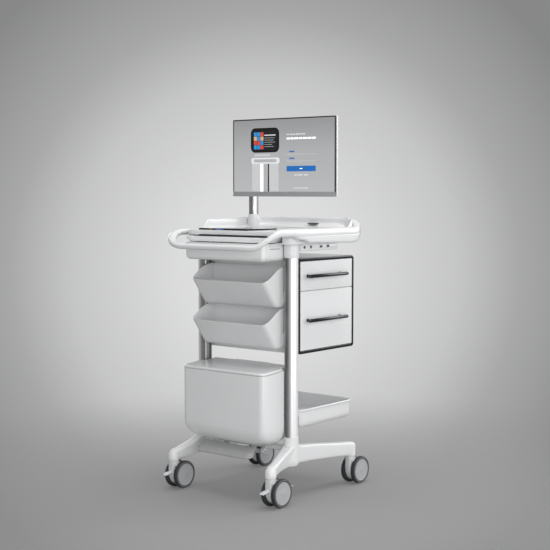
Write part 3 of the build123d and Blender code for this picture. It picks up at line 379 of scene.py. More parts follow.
def remesh_smooth(o, voxel, iters, factor=0.5):
    """Fuses overlapping closed shells into one casting and rounds the joins; result applied to the mesh."""
    bpy.context.view_layer.update()
    m = o.modifiers.new("fuse", "REMESH")
    m.mode = "VOXEL"
    m.voxel_size = voxel * MM
    m.use_smooth_shade = True
    s = o.modifiers.new("round", "SMOOTH")
    s.factor = factor
    s.iterations = iters
    dg = bpy.context.evaluated_depsgraph_get()
    me = bpy.data.meshes.new_from_object(o.evaluated_get(dg), depsgraph=dg)
    old = o.data
    mats = [x for x in old.materials]
    o.modifiers.clear()
    o.data = me
    me.materials.clear()
    for x in mats:
        me.materials.append(x)
    for p in me.polygons:
        p.use_smooth = True
    return o


# ------------------------------------------------------------------ handle loop and side bands
CXR, RR = 140.0, 125.0       # plan centre of the corners, centre-line radius
YF = 282.6


def ring_station(s):
    """Point and outward normal on the plan centre line; s in [0, 8): front, corner, side, corner, rear ... ."""
    seg = int(s) % 8
    t = s - int(s)
    if seg == 0:      # front, left to right
        return (-CXR + 2 * CXR * t, -YF), (0, -1)
    if seg == 1:
        a = rad(-90 + 90 * t)
        return (CXR + RR * math.cos(a), -YF + RR + RR * math.sin(a)), (math.cos(a), math.sin(a))
    if seg == 2:
        return (CXR + RR, (-YF + RR) + t * 2 * (YF - RR)), (1, 0)
    if seg == 3:
        a = rad(90 * t)
        return (CXR + RR * math.cos(a), YF - RR + RR * math.sin(a)), (math.cos(a), math.sin(a))
    if seg == 4:
        return (CXR - 2 * CXR * t, YF), (0, 1)
    if seg == 5:
        a = rad(90 + 90 * t)
        return (-CXR + RR * math.cos(a), YF - RR + RR * math.sin(a)), (math.cos(a), math.sin(a))
    if seg == 6:
        return (-CXR - RR, (YF - RR) - t * 2 * (YF - RR)), (-1, 0)
    a = rad(180 + 90 * t)
    return (-CXR + RR * math.cos(a), -YF + RR + RR * math.sin(a)), (math.cos(a), math.sin(a))


def oval(hw, hh, cz, n=32, p=2.4, off=0.0, tilt=0.0):
    pts = []
    for i in range(n):
        a = 2 * math.pi * i / n
        c, s = math.cos(a), math.sin(a)
        x = hw * math.copysign(abs(c) ** (2 / p), c)
        z = hh * math.copysign(abs(s) ** (2 / p), s)
        pts.append((off + x * math.cos(tilt) - z * math.sin(tilt), cz + x * math.sin(tilt) + z * math.cos(tilt)))
    return pts


def resample(poly, n):
    """n points evenly spaced by angle about the centroid, counter-clockwise from +x."""
    P = np.array(poly, float)
    c = P.mean(0)
    out = []
    m = len(P)
    for k in range(n):
        a = 2 * math.pi * k / n
        d = np.array([math.cos(a), math.sin(a)])
        best = None
        for i in range(m):
            p, q = P[i] - c, P[(i + 1) % m] - c
            e = q - p
            den = d[0] * e[1] - d[1] * e[0]
            if abs(den) < 1e-9:
                continue
            t = (p[0] * e[1] - p[1] * e[0]) / den
            u = (p[0] * d[1] - p[1] * d[0]) / den
            if t > 0 and -1e-6 <= u <= 1 + 1e-6:
                best = max(best or 0, t)
        out.append(tuple(c + d * (best or 0)))
    return out


NS = 40
# offsets are (outward from the centre line at x=265, height)
def side_poly(zb):
    """Side band: a rolled grip on top, a fine crease, and an apron below whose lower edge is at zb."""
    return ([(-15.5, zb + 1)] + [(7.5 + 7.0 * math.sin(rad(a)), zb + 7 - 7 * math.cos(rad(a))) for a in range(0, 91, 15)]
            + [(14.7, 918), (14.6, 924.6), (13.9, 925.5), (13.9, 926.3), (15.0, 927.2), (15.6, 931), (15.5, 935.5), (14.2, 940.5), (11.4, 945), (7, 948.4), (1.5, 950.4), (-5, 950.6), (-10, 949), (-14, 945), (-15.5, 938)])


REAR_POLY = rpoly([(-13, 940), (9, 936), (15, 946), (15, 969), (6, 981), (-11, 981), (-14, 975)], [1, 6, 6, 6, 4, 3, 2], 5)
NS = 56
SEC_REAR = resample(REAR_POLY, NS)


def sec_mix(a, b, t):
    return [((1 - t) * p[0] + t * q[0], (1 - t) * p[1] + t * q[1]) for p, q in zip(a, b)]


def ring_section(s):
    """Section of the loop at station s."""
    s = s % 8
    if 0.0 <= s <= 1.0:
        return oval(14.6, 10.5, 886.0, NS, 2.3, 0.0, 0.0)
    if s <= 2.10:                                   # front right corner climbs to the side band
        t = s - 1.0
        rise = smoothstep((t * 90 - 13) / 50)
        tube = oval(14.6 + 0.8 * rise, 10.5 + 2.0 * rise, 886.0 + 51.5 * rise, NS, 2.3, 0.0, -0.22 * rise)
        return sec_mix(tube, resample(side_poly(912), NS), smoothstep((t - 0.86) / 0.24))
    if s <= 3.0:
        t = s - 2.1
        return resample(side_poly(912 - 10 * smoothstep(t / 0.10) - 9 * max(0.0, t - 0.1)), NS)
    if s <= 4.0:
        return sec_mix(resample(side_poly(895), NS), SEC_REAR, smoothstep((s - 3.0) * 1.15))
    if s <= 5.0:
        return SEC_REAR
    slim = oval(15.2, 11.5, 931.0, NS, 2.3, 0.0, 0.0)
    if s <= 6.0:
        return sec_mix(SEC_REAR, slim, smoothstep((s - 5.0) * 1.1))
    if s <= 7.0:
        return slim
    t = 8.0 - s                                     # 1 at the side, 0 at the front
    rise = smoothstep(t) ** 1.15
    g = math.sin(math.pi * t) ** 1.5
    return oval(14.8 + 0.4 * rise + 0.8 * g, 10.5 + 1.0 * rise + 1.2 * g, 886.0 + 45 * rise, NS, 2.2, 2.2 * g, 0.0)


bm = bmesh.new()
rings = []
steps = []
for seg, n in ((0, 10), (1, 22), (2, 30), (3, 22), (4, 10), (5, 22), (6, 30), (7, 22)):
    steps += [seg + k / n for k in range(n)]
for s in steps:
    (px, py), (nx, ny) = ring_station(s)
    rings.append([(px + nx * o, py + ny * o, z) for o, z in ring_section(s)])
loft(bm, rings, closed=True)
ring_obj = finish_obj("handle_loop", bm, WHITE, "frame", ["handle_ring"], 60)

# ------------------------------------------------------------------ worktop deck, fascia and undershell
bm = bmesh.new()
H = 249.4
outline = rpoly([(-H, -172), (H, -172), (H, 266.9), (-H, 266.9)], [46, 46, 109.4, 109.4], 14)
prism(bm, "XY", outline, 923, 941.0, 3.0, 4)
deck = finish_obj("worktop_plate", bm, WHITE, "frame", ["worktop_deck"], 50)

bm = bmesh.new()
outline = rpoly([(-H, -163), (H, -163), (H, 266.9), (-H, 266.9)], [40, 40, 109.4, 109.4], 14)
prism(bm, "XY", outline, 896.2, 923.4, 3.0, 4)
shell = finish_obj("worktop_under_tray", bm, WHITE_SATIN, "frame", ["worktop_undershell"], 50)
# the mouth of the keyboard bay is cut into it
cut = bmesh.new()
bmesh.ops.create_cube(cut, size=1.0, matrix=Matrix.Translation(V((0, -70, 911.5))) @ Matrix.Diagonal((0.4163, 0.20, 0.0195, 1)))
cm = bpy.data.meshes.new("bay_cut")
cut.to_mesh(cm); cut.free()
co = bpy.data.objects.new("bay_cut", cm)
COL.objects.link(co)
md = shell.modifiers.new("bay", "BOOLEAN")
md.operation = "DIFFERENCE"; md.solver = "EXACT"; md.object = co
bpy.context.view_layer.update()
dg = bpy.context.evaluated_depsgraph_get()
me = bpy.data.meshes.new_from_object(shell.evaluated_get(dg), depsgraph=dg)
shell.modifiers.clear()
shell.data = me
bpy.data.objects.remove(co)

# touch panel: black glass and a row of lit soft keys
bm = bmesh.new()
rstack(bm, "XY", (-176, 65, -170.4, -10), 9, 938.0, 946.8, 0.4, 0.6, 8, 3)
finish_obj("touch_glass", bm, BLACK_GLASS, "frame", ["touch_panel"])
# dark strip behind the bay mouth: painted shadow deepening the gap line between deck and keyboard tray
bm = bmesh.new()
rstack(bm, "XZ", (-168, 146, 919.8, 924.6), 1.2, -173.4, -166, 0.3, 0.2, 4, 2)
finish_obj("bay_mouth_painted_shadow", bm, DARK, "frame", ())
bm = bmesh.new()
for x0, x1 in ((-88, -80), (-78, -70), (-66, -58)):
    rstack(bm, "XZ", (x0, x1, 942.2, 944.8), 0.8, -170.9, -170.2, 0.1, 0.1, 4, 2)
finish_obj("touch_lamps_blue", bm, flat("lamp_blue", (0.06, 0.22, 0.55), 0.3, 0.5), "frame", ())
bm = bmesh.new()
rstack(bm, "XZ", (-118, -110, 942.2, 944.8), 0.8, -170.9, -170.2, 0.1, 0.1, 4, 2)
finish_obj("touch_lamp_amber", bm, flat("lamp_amber", (0.6, 0.26, 0.06), 0.3, 0.4), "frame", ())

# ------------------------------------------------------------------ guard wall with its cove
def guard_path():
    pts = []
    for k in range(26):                       # left wall, front to back
        y = -68 + (157.5 + 68) * k / 25
        pts.append(((-249.2, y), (1, 0), k / 25 * 0.5))
    for k in range(1, 19):                    # rear left corner
        a = rad(180 - 90 * k / 18)
        pts.append(((-140 + 109.2 * math.cos(a), 157.5 + 109.2 * math.sin(a)), (-math.cos(a), -math.sin(a)), 0.5 + 0.1 * k / 18))
    for k in range(1, 21):                    # rear wall
        pts.append(((-140 + 280 * k / 20, 266.7), (0, -1), 0.6 + 0.25 * k / 20))
    for k in range(1, 21):                    # round the rear right corner
        a = rad(90 - 90 * k / 20)
        pts.append(((140 + 109.2 * math.cos(a), 157.5 + 109.2 * math.sin(a)), (-math.cos(a), -math.sin(a)), 0.85 + 0.15 * k / 20))
    return pts


bm = bmesh.new()
rings = []
gp = guard_path()
for (x, y), (nx, ny), u in gp:
    # wall top height: ramps up on the left, level at the back, blends down at the right end
    top = 974.0 + 6.5 * smoothstep((u - 0.40) / 0.18)
    if u < 0.075:
        top = 945 + 29 * smoothstep((u) / 0.062)
    if u > 0.93:
        top = 980.5 - 31 * smoothstep((u - 0.93) / 0.07)
    cove = smoothstep((u - 0.42) / 0.16) * (1 - smoothstep((u - 0.85) / 0.07))
    w = 7.0
    cz = 941 + (962 - 941) * cove             # where the cove meets the wall
    cd = 4 + 34 * cove                        # how far it runs inwards
    sec = [(0, 940), (0, top - 2), (1.5, top), (w - 1.5, top), (w, top - 2), (w, cz + (top - cz) * 0.5), (w, cz + 2)]
    for j in range(1, 7):
        t = j / 6
        sec.append((w + cd * t, cz - (cz - 943.5) * (1 - (1 - t) ** 1.7)))
    sec.append((w + cd + 0.5, 940))
    rings.append([(x + nx * a, y + ny * a, z) for a, z in sec])
loft(bm, rings)
finish_obj("guard_rail_wall", bm, WHITE, "frame", ["guard_wall"], 50)
# slot in the cove: its throat is a dark insert that paints the shade inside the slot, set in the light cove
bm = bmesh.new()
rstack(bm, "XZ", (8, 50, 955.5, 960.0), 2.0, 238.5, 262, 0.5, 0.2, 6, 2)
finish_obj("rear_slot_throat", bm, SLOT, "frame", ())

# ------------------------------------------------------------------ keyboard tray, keyboard
bm = bmesh.new()
prof = rpoly([(-178, 901.2), (178, 901.2), (200, 918.9), (-200, 918.9)], [7, 7, 1.2, 1.2], 5)
layers = []
for i, h in quarter(3.0, 4):
    layers.append((i, -213 + h))
for i, h in quarter(1.0, 2)[::-1]:
    layers.append((i, 19.5 - h))
rings = []
for i, t in layers:
    cx, cz = 0.0, 910.0
    kx, kz = (189 - i) / 189, (9 - i) / 9
    rings.append([(cx + (a - cx) * kx, t, cz + (b - cz) * kz) for a, b in prof])
loft(bm, rings)
tray = finish_obj("keyboard_drawer", bm, WHITE, "key_tray", ["keyboard_tray"], 45)
cut = bmesh.new()
rstack(cut, "XY", (-170, 170, -197, -47), 7, 905.2, 930, 1.5, 0.2, 6, 3)
bmesh.ops.recalc_face_normals(cut, faces=cut.faces[:])
cm = bpy.data.meshes.new("well_cut"); cut.to_mesh(cm); cut.free()
co = bpy.data.objects.new("well_cut", cm); COL.objects.link(co)
md = tray.modifiers.new("well", "BOOLEAN"); md.operation = "DIFFERENCE"; md.solver = "EXACT"; md.object = co
bpy.context.view_layer.update()
dg = bpy.context.evaluated_depsgraph_get()
me = bpy.data.meshes.new_from_object(tray.evaluated_get(dg), depsgraph=dg)
tray.modifiers.clear(); tray.data = me
bpy.data.objects.remove(co)

bm = bmesh.new()
rstack(bm, "XY", (-165, 165, -187, -57), 8, 905.3, 911.2, 1.0, 1.5, 8, 3)
finish_obj("keyboard_case", bm, DARK, "key_tray", ["keyboard_base"])
bm = bmesh.new()
rstack(bm, "XY", (-161, 161, -183, -61), 6, 910.8, 913.1, 0.5, 0.9, 6, 3)
for r in range(5):
    for c in range(16):
        x = -142.5 + 19 * c; y = -112 - 38 + 19 * r
        ring0 = rr(x - 8, x + 8, y - 8, y + 8, 2.4, 3)
        rings = [place("XY", 912.9, ring0), place("XY", 915.2, rr(x - 7.2, x + 7.2, y - 7.2, y + 7.2, 2.2, 3)),
                 place("XY", 915.6, rr(x - 6.6, x + 6.6, y - 6.6, y + 6.6, 2.0, 3)), place("XY", 915.35, rr(x - 4, x + 4, y - 4, y + 4, 2.0, 3))]
        loft(bm, rings, cap=(False, True))
for x0, x1 in ((-145, -85), (-55, 55), (85, 145)):
    rings = [place("XY", 912.9, rr(x0, x1, -179, -165, 2.4, 3)), place("XY", 915.2, rr(x0 + .8, x1 - .8, -178.2, -165.8, 2.2, 3)),
             place("XY", 915.6, rr(x0 + 1.5, x1 - 1.5, -177.5, -166.5, 2, 3))]
    loft(bm, rings, cap=(False, True))
finish_obj("keyboard_key_sheet", bm, KEYS, "key_tray", ["keyboard_keymat"])

# ------------------------------------------------------------------ console under the worktop
def console_rings(hx, y0, y1, z0, z1, rbot, redge, front=True):
    """Section in XZ pushed along Y; bottom corners rbot, all edges of the front face rounded by redge."""
    rings = []
    layers = [(i, y0 + h) for i, h in quarter(redge, 5)] + [(0.0, y1)]
    for i, t in layers:
        poly = rpoly([(-hx + i, z0 + i), (hx - i, z0 + i), (hx - i, z1), (-hx + i, z1)], [max(1, rbot - i), max(1, rbot - i), 0.5, 0.5], 7)
        rings.append([(a, t, b) for a, b in poly])
    return rings


bm = bmesh.new()
loft(bm, console_rings(181, -234.5, -125, 837.3, 898.5, 18, 13))
loft(bm, console_rings(173, -134, -82.2, 837.3, 896, 12, 1))
finish_obj("console_housing", bm, WHITE, "frame", ["console_body"], 40)
bm = bmesh.new()
rstack(bm, "YZ", (-212, -133, 851, 890), 2.5, 172, 182.2, 0.5, 1.0, 5, 3)
finish_obj("battery_block", bm, WHITE_SATIN, "battery", ["battery_module"])
bm = bmesh.new()
rstack(bm, "YZ", (-206, -139, 855, 884), 2.0, 181.0, 183.0, 0.4, 0.8, 5, 3)
finish_obj("battery_latch_plate", bm, WHITE, "battery", ())
bm = bmesh.new()
rstack(bm, "YZ", (-200, -146, 879.6, 881.6), 0.8, 182.0, 183.2, 0.1, 0.1, 4, 2)
finish_obj("battery_latch_line", bm, SEAM, "battery", ())
# frame bezel round the module
bm = bmesh.new()
outer = rr(-216, -125.5, 846, 895.5, 5, 5); inner = rr(-212.5, -132.5, 850.5, 890.5, 2.5, 5)
rings = [place("YZ", 179.0, outer), place("YZ", 182.4, outer), place("YZ", 183.0, rr(-215.2, -126.3, 846.8, 894.7, 4.5, 5)),
         place("YZ", 183.0, rr(-213.2, -131.8, 849.8, 891.2, 3, 5)), place("YZ", 181.0, inner), place("YZ", 179.0, inner)]
loft(bm, rings, closed=True)
finish_obj("battery_bay_frame", bm, WHITE, "frame", ())

# ------------------------------------------------------------------ input/output housing with its sockets
bm = bmesh.new()
rings = []
for sx, i in [(-222 + h, i) for i, h in quarter(3, 3)] + [(222 - h, i) for i, h in quarter(3, 3)[::-1]]:
    poly = rpoly([(-74 + i, 870.2 + i), (141 - i, 870.2 + i), (141 - i, 896), (-74 + i, 896)], [6, 22, 0.5, 0.5], 8)
    rings.append([(sx, a, b) for a, b in poly])
loft(bm, rings)
finish_obj("io_box", bm, WHITE, "frame", ["io_housing"], 45)
bm = bmesh.new()
bm_ring = bmesh.new()
for sx in (1, -1):
    for y in (-56.5, -19.5):
        disc_stack(bm, "YZ", (y, 884), [(4.4, sx * 221.0), (4.4, sx * 222.25), (4.0, sx * 222.5)], 24)
        disc_stack(bm_ring, "YZ", (y, 884), [(6.2, sx * 221.0), (6.2, sx * 222.3), (5.8, sx * 222.6), (4.6, sx * 222.6), (4.6, sx * 221.0)], 28, cap=(False, False))
    for y in (39.5, 80.5):
        rings = [place("YZ", sx * 221.0, rr(y - 6.2, y + 6.2, 881, 887, 1, 3)), place("YZ", sx * 222.35, rr(y - 6.2, y + 6.2, 881, 887, 1, 3))]
        loft(bm, rings)
        rings = [place("YZ", sx * 221.0, rr(y - 8, y + 8, 879.6, 888.4, 1.6, 3)), place("YZ", sx * 222.5, rr(y - 8, y + 8, 879.6, 888.4, 1.6, 3)),
                 place("YZ", sx * 222.5, rr(y - 6.4, y + 6.4, 881, 887, 1, 3)), place("YZ", sx * 221.0, rr(y - 6.4, y + 6.4, 881, 887, 1, 3))]
        loft(bm_ring, rings, cap=(False, False))
rings = [place("XZ", 139.5, rr(-164, -136, 872.5, 892.5, 3, 4)), place("XZ", 141.4, rr(-164, -136, 872.5, 892.5, 3, 4)),
         place("XZ", 141.4, rr(-160, -140, 876, 889, 2, 4)), place("XZ", 140.2, rr(-160, -140, 876, 889, 2, 4))]
loft(bm, rings)
finish_obj("socket_cores", bm, DARK, "frame", ["io_ports"])
finish_obj("socket_surrounds", bm_ring, SILVER, "frame", ())

# ------------------------------------------------------------------ columns' collars flowing up into the side bands
for side, nm in ((1, "right"), (-1, "left")):
    bm = bmesh.new()
    rings = []
    for z, grow, shift in ((849.0, 0, 0), (849.6, 1.0, 0), (851, 1.4, 0), (868, 1.4, 0), (884, 1.4, 0), (894, 1.5, 0.6), (900, 1.6, 2.4), (905, 1.8, 6), (909, 2, 11), (912.5, 2, 17), (916, 1.6, 24), (920, 0.6, 29), (925, -2, 31), (930, -8, 31)):
        ring = []
        for k in range(48):
            a = 2 * math.pi * k / 48
            r = 25.8 + grow
            x = r * math.cos(a)
            if x > 0:
                x *= 1 + shift / 17.0
            y = r * math.sin(a)
            if y > 0:
                y *= 1 + shift / 24.0
            ring.append((side * (202 + x), -105 + y, z))
        rings.append(ring)
    loft(bm, rings)
    finish_obj("column_collar_" + nm, bm, WHITE, "frame", ["column_collars"] if side > 0 else (), 70)

# ------------------------------------------------------------------ storage bins
def bin_profile(dz):
    """Side profile (Y, z) of the hopper: front panel, floor and back wall."""
    out = rpoly([(-213, 764 + dz), (-149, 674 + dz), (-85, 674 + dz), (-85, 816 + dz)], [0, 16, 4, 0], 7)
    return out


def top_edge(y, dz, left=False):
    """Height of the side wall's top edge: low at the lip, an S-curve up to the back wall."""
    keys = [(-213, 764), (-206, 767.5), (-196, 772.5), (-184, 778), (-168, 788), (-150, 800), (-134, 809), (-118, 814.5), (-102, 816), (-85, 816)]
    if left:
        keys = [(-213, 765), (-206, 770.5), (-196, 778), (-184, 785.5), (-168, 796.5), (-150, 806.5), (-134, 812), (-118, 815.3), (-102, 816), (-85, 816)]
    for (a, za), (b, zb) in zip(keys[:-1], keys[1:]):
        if y <= b:
            return za + (zb - za) * (y - a) / (b - a) + dz
    return 816 + dz


def front_y(z, dz):
    return -213 + (764 + dz - z) * 66.0 / 90.0


for nm, dz in (("upper", 0.0), ("lower", -145.0)):
    bm = bmesh.new()
    HX, T = 172.0, 2.8
    RC = 19.0                                   # rounding between front panel and side walls
    # horizontal rings from the floor up; each ring follows back wall, side, rounded front corner, front panel
    def plan(z, inset, zt=None):
        yf = max(front_y(z, dz), -213) + inset * 1.24
        yb = -85 - inset
        hx = HX - inset
        rc = RC - inset
        pts = []
        pts.append((-hx, yb)); 
        for k in range(1, 7):
            pts.append((-hx, yb + (yf + rc - yb) * k / 7))
        for k in range(9):
            a = rad(180 + 90 * k / 8)
            pts.append((-hx + rc + rc * math.cos(a), yf + rc + rc * math.sin(a)))
        for k in range(1, 8):
            pts.append((-hx + rc + (2 * hx - 2 * rc) * k / 8, yf))
        for k in range(9):
            a = rad(270 + 90 * k / 8)
            pts.append((hx - rc + rc * math.cos(a), yf + rc + rc * math.sin(a)))
        for k in range(1, 7):
            pts.append((hx, yf + rc + (yb - yf - rc) * k / 7))
        pts.append((hx, yb))
        for k in range(1, 8):
            pts.append((hx - 2 * hx * k / 8, yb))
        return pts
    rb = 12.0
    rings = []
    for i, h in quarter(rb, 4):                 # rounded foot
        z = 674 + dz + h
        rings.append([(x * (HX - i) / HX, y + (0 if y > -90 else i * 0.8), z) for x, y in plan(z, 0)])
    fr = [0.2, 0.35, 0.5, 0.65, 0.8, 0.9, 1.0]
    base_z = 674 + dz + rb
    ref = plan(764 + dz, 0)
    def up(frac, inset):
        # each ring point climbs towards the top edge at its own place in plan
        out = []
        for idx, (x, y) in enumerate(ref):
            zt = top_edge(y, dz, x < 0) if abs(x) > HX - RC - 1 or y > -100 else 764 + dz
            if y > -86:
                zt = 816 + dz
            if abs(x) <= HX - RC - 1 and y < -200:
                zt = 764 + dz
            z = base_z + (zt - base_z) * frac
            px, py = plan(min(z, 764 + dz), inset)[idx]
            out.append((px, py, z))
        return out
    for f in fr:
        rings.append(up(f, 0.0))
    n_out = len(rings)
    lip = [(x, y, z + 0.8) for x, y, z in up(1.0, 0.6)]
    rings.append(lip)
    lip2 = [(x, y, z + 0.8) for x, y, z in up(1.0, T - 0.6)]
    rings.append(lip2)
    for f in fr[::-1]:
        rings.append(up(f, T))
    for i, h in quarter(rb, 4)[::-1]:
        z = 674 + dz + 2.8 + h
        rings.append([(x * (HX - i) / HX, y + (0 if y > -92 else i * 0.8), z) for x, y in plan(z, T)])
    loft(bm, rings)
    finish_obj("hopper_bin_" + nm, bm, WHITE, "frame", ["storage_bin_" + nm], 40)

# ------------------------------------------------------------------ waste bin
SL = math.atan2(13.0, 163.0)


def mouth(y):
    return 447.0 + (y + 243.0) * math.tan(SL)


WH, WR, FOOT, WZ = 191.0, 25.0, 64.0, 193.5


def waste_plan(i, j, wide=True):
    """Plan outline drawn in by i at the front and sides and by j at the back."""
    r = WR + 0.55 * i
    if wide:
        return rpoly([(-174 + i, -80 - j), (-174 + i, -126), (-WH + i, -130), (-WH + i, -243 + i), (WH - i, -243 + i), (WH - i, -130), (174 - i, -126), (174 - i, -80 - j)], [2, 2, 2, r, r, 2, 2, 2], 9)


def tuck(h, r):
    return 0.0 if h >= r else r - math.sqrt(max(0.0, r * r - (r - h) ** 2))


bm = bmesh.new()
rings = []
for h in (0.05, 0.4, 1.0, 2.0, 3.4, 5.2, 7.6, 10.6, 14.4, 19, 24.5, 31, 38.5, 46.5, 55, 64, 90, 140, 190, 236, 246):
    i = tuck(h, FOOT) * 0.92
    rings.append([(x, y, WZ + h) for x, y in waste_plan(i, min(6.0, i * 0.1))])
rings.append([(x, y, mouth(y)) for x, y in waste_plan(0, 0)])
loft(bm, rings)
body_obj = finish_obj("waste_bin_shell", bm, WHITE, "frame", ["waste_bin_body"], 55)
cut = bmesh.new()
rings = []
for h in (0.05, 1, 3, 6, 11, 18, 27, 38, 50, 60, 120, 330):
    i = tuck(h, 60.0) * 0.92
    hw = 170.6 - i; yf = -239.6 + i
    rings.append([(x, y, WZ + 4 + h) for x, y in rpoly([(-hw, -83.4), (-hw, yf), (hw, yf), (hw, -83.4)], [2, 12 + 0.5 * i, 12 + 0.5 * i, 2], 8)])
loft(cut, rings)
bmesh.ops.recalc_face_normals(cut, faces=cut.faces[:])
cm = bpy.data.meshes.new("waste_cut"); cut.to_mesh(cm); cut.free()
co = bpy.data.objects.new("waste_cut", cm); COL.objects.link(co)
md = body_obj.modifiers.new("hollow", "BOOLEAN"); md.operation = "DIFFERENCE"; md.solver = "EXACT"; md.object = co
bpy.context.view_layer.update()
dg = bpy.context.evaluated_depsgraph_get()
me = bpy.data.meshes.new_from_object(body_obj.evaluated_get(dg), depsgraph=dg)
body_obj.modifiers.clear(); body_obj.data = me
bpy.data.objects.remove(co)
bm = bmesh.new()
for s in (-1, 1):                               # hinge ears
    prism(bm, "YZ", rpoly([(-83, 457), (-83, 426), (-67, 450), (-66, 462), (-73, 469), (-80, 458)], [2, 2, 5, 5, 5, 2], 4), *sorted((s * 82, s * 98)), 0.8)
finish_obj("waste_hinge_ears", bm, WHITE, "frame", ())

# lid: crowned, thin rounded rim, small shadow gap to the body
bm = bmesh.new()
plan_lid = rpoly([(-191.6, -243.8), (191.6, -243.8), (191.6, -140.5), (173.6, -136), (173.6, -80.5), (-173.6, -80.5), (-173.6, -136), (-191.6, -140.5)], [25.6, 25.6, 3, 3, 2, 2, 3, 3], 9)
cxl, cyl = 0.0, -160.0
rings = []
for k, dz_ in ((0.975, 0.7), (0.990, 1.1), (0.998, 1.9), (1.0, 3.2), (1.0, 5.2), (0.996, 7.2), (0.986, 8.6), (0.965, 9.3), (0.80, 9.7), (0.5, 10.1), (0.2, 10.2)):
    rings.append([(cxl + (x - cxl) * k, cyl + (y - cyl) * k, mouth(cyl + (y - cyl) * k) + dz_ - (0.0)) for x, y in plan_lid])
loft(bm, rings)
disc_stack(bm, "YZ", (-73, 462), [(6.6, -80), (7, -79.4), (7, 79.4), (6.6, 80)], 32)
prism(bm, "YZ", [(-82, 461.2), (-82, 467.5), (-73, 468.6), (-73, 460)], -80, 80, 0.5)
finish_obj("waste_lid", bm, WHITE, "lid", ["waste_bin_lid"], 60)

# foot pedal: bowed sheet with turned-up ends
bm = bmesh.new()
rings = []
N = 48
for k in range(N + 1):
    u = -1 + 2 * k / N
    e = smoothstep((abs(u) - 0.80) / 0.20)
    hw_b, hw_f = 118.0, 129.5
    prof_t = []
    sec = [(-199, 188.5), (-206, 185.4), (-215, 180.4), (-224, 174.0), (-232, 167.2), (-238.4, 160.6), (-242.6, 155.6)]
    sec_b = [(y + 1.6, z - 3.8) for y, z in sec]
    ring = []
    for j, (y, z) in enumerate(sec + sec_b[::-1]):
        t = (min(j, 13 - j)) / 6
        hw = hw_b + (hw_f - hw_b) * t
        x = u * hw
        yy = y + (17.0 * e * e * t)
        zz = z + 6.0 * e * e * t
        ring.append((x, yy, zz))
    rings.append(ring)
loft(bm, rings)
for s in (-1, 1):
    prism(bm, "YZ", rpoly([(-200, 183), (-190, 187), (-176, 183.5), (-128, 165.5), (-118, 153), (-130, 150.5), (-182, 173), (-198, 178.5)], 3, 4), *sorted((s * 62, s * 76)), 1.2)
disc_stack(bm, "YZ", (-122, 158), [(7.4, -80), (8, -79.3), (8, 79.3), (7.4, 80)], 32)
finish_obj("pedal", bm, PEDAL_MAT, "pedal", ["foot_pedal"], 50)

# ------------------------------------------------------------------ base legs: cast, fused and rounded
# y, x centre, bottom, top, width at the top, width at the bottom, corner radius
LEG = [
    (-267, 227, 111, 130, 14, 10, 6), (-260, 227, 107, 139, 27, 20, 9), (-246, 226, 105.5, 146, 36, 29, 12), (-228, 222.5, 107, 150, 38, 27, 12),
    (-205, 217, 110, 158, 38, 21, 11), (-175, 210, 115, 168, 41, 18, 10), (-145, 205, 119, 181, 45, 20, 9), (-120, 202.5, 123, 195, 49, 26, 9), (-100, 202, 125, 200, 49, 34, 9),
    (-80, 202, 126, 192, 46, 38, 9), (-50, 202, 125, 187, 42, 36, 9), (10, 204, 121, 181, 39, 33, 9), (70, 208, 117, 173, 38, 32, 9),
    (130, 215, 113, 166, 38, 32, 10), (185, 223, 108, 161, 38, 33, 12), (215, 227, 105.5, 158, 38, 34, 14), (228, 227, 107, 153, 32, 28, 13), (235, 227, 112, 143, 18, 16, 7),
]
for side, nm in ((1, "right"), (-1, "left")):
    bm = bmesh.new()
    rings = []
    for y, xc, z0, z1, wt, wb, r in catmull(LEG, 5):
        w = max(wt, wb)
        ring = []
        for a, b in rr(-w / 2, w / 2, z0, z1, min(r, w / 2 - 0.2), 6):
            t = (b - z0) / (z1 - z0)
            k = (wb + (wt - wb) * t) / w
            ring.append((side * (xc + a * k), y, b))
        rings.append(ring)
    loft(bm, rings)
    o = finish_obj("cast_leg_" + nm, bm, CAST, "frame", ["base_leg_" + nm], 48)
    tools = []
    cut = bmesh.new()
    rings = []
    for z, r0, fwd in ((222.4, 24.9, 0), (221.8, 25.6, 0), (212, 25.8, 0), (200, 25.9, 0.6), (188, 26.0, 2), (172, 26.1, 5), (156, 26.2, 9), (140, 26.2, 12), (128, 25.6, 11), (122.5, 23, 9), (121.5, 19, 8)):
        ring = []
        for k in range(56):
            a = 2 * math.pi * k / 56
            x = r0 * math.cos(a); y = r0 * math.sin(a)
            f = max(0.0, -math.sin(a)) ** 1.6
            ring.append((side * (202 + x - 0.10 * fwd * f), -105 + y - fwd * f, z))
        rings.append(ring)
    loft(cut, rings)
    for (bx, by, zt) in ((227, -249, 140), (227, 215, 150)):
        disc_stack(cut, "XY", (side * bx, by), [(18.9, 104.6), (19.5, 105.8), (19.6, 114), (18.6, zt - 10), (12, zt)], 44)
    bmesh.ops.recalc_face_normals(cut, faces=cut.faces[:])
    cm = bpy.data.meshes.new("socket_tool"); cut.to_mesh(cm); cut.free()
    co = bpy.data.objects.new("socket_tool", cm); COL.objects.link(co)
    md = o.modifiers.new("join", "BOOLEAN"); md.operation = "UNION"; md.solver = "EXACT"; md.use_self = True; md.object = co
    bpy.context.view_layer.update()
    dg = bpy.context.evaluated_depsgraph_get()
    me = bpy.data.meshes.new_from_object(o.evaluated_get(dg), depsgraph=dg)
    o.modifiers.clear(); o.data = me
    bpy.data.objects.remove(co)
    bq = bmesh.new(); bq.from_mesh(me)
    bmesh.ops.recalc_face_normals(bq, faces=bq.faces[:])
    for f in bq.faces:
        f.smooth = True
    for e in bq.edges:
        e.smooth = not (len(e.link_faces) == 2 and e.calc_face_angle(0.0) > rad(32))
    bq.to_mesh(me); bq.free()

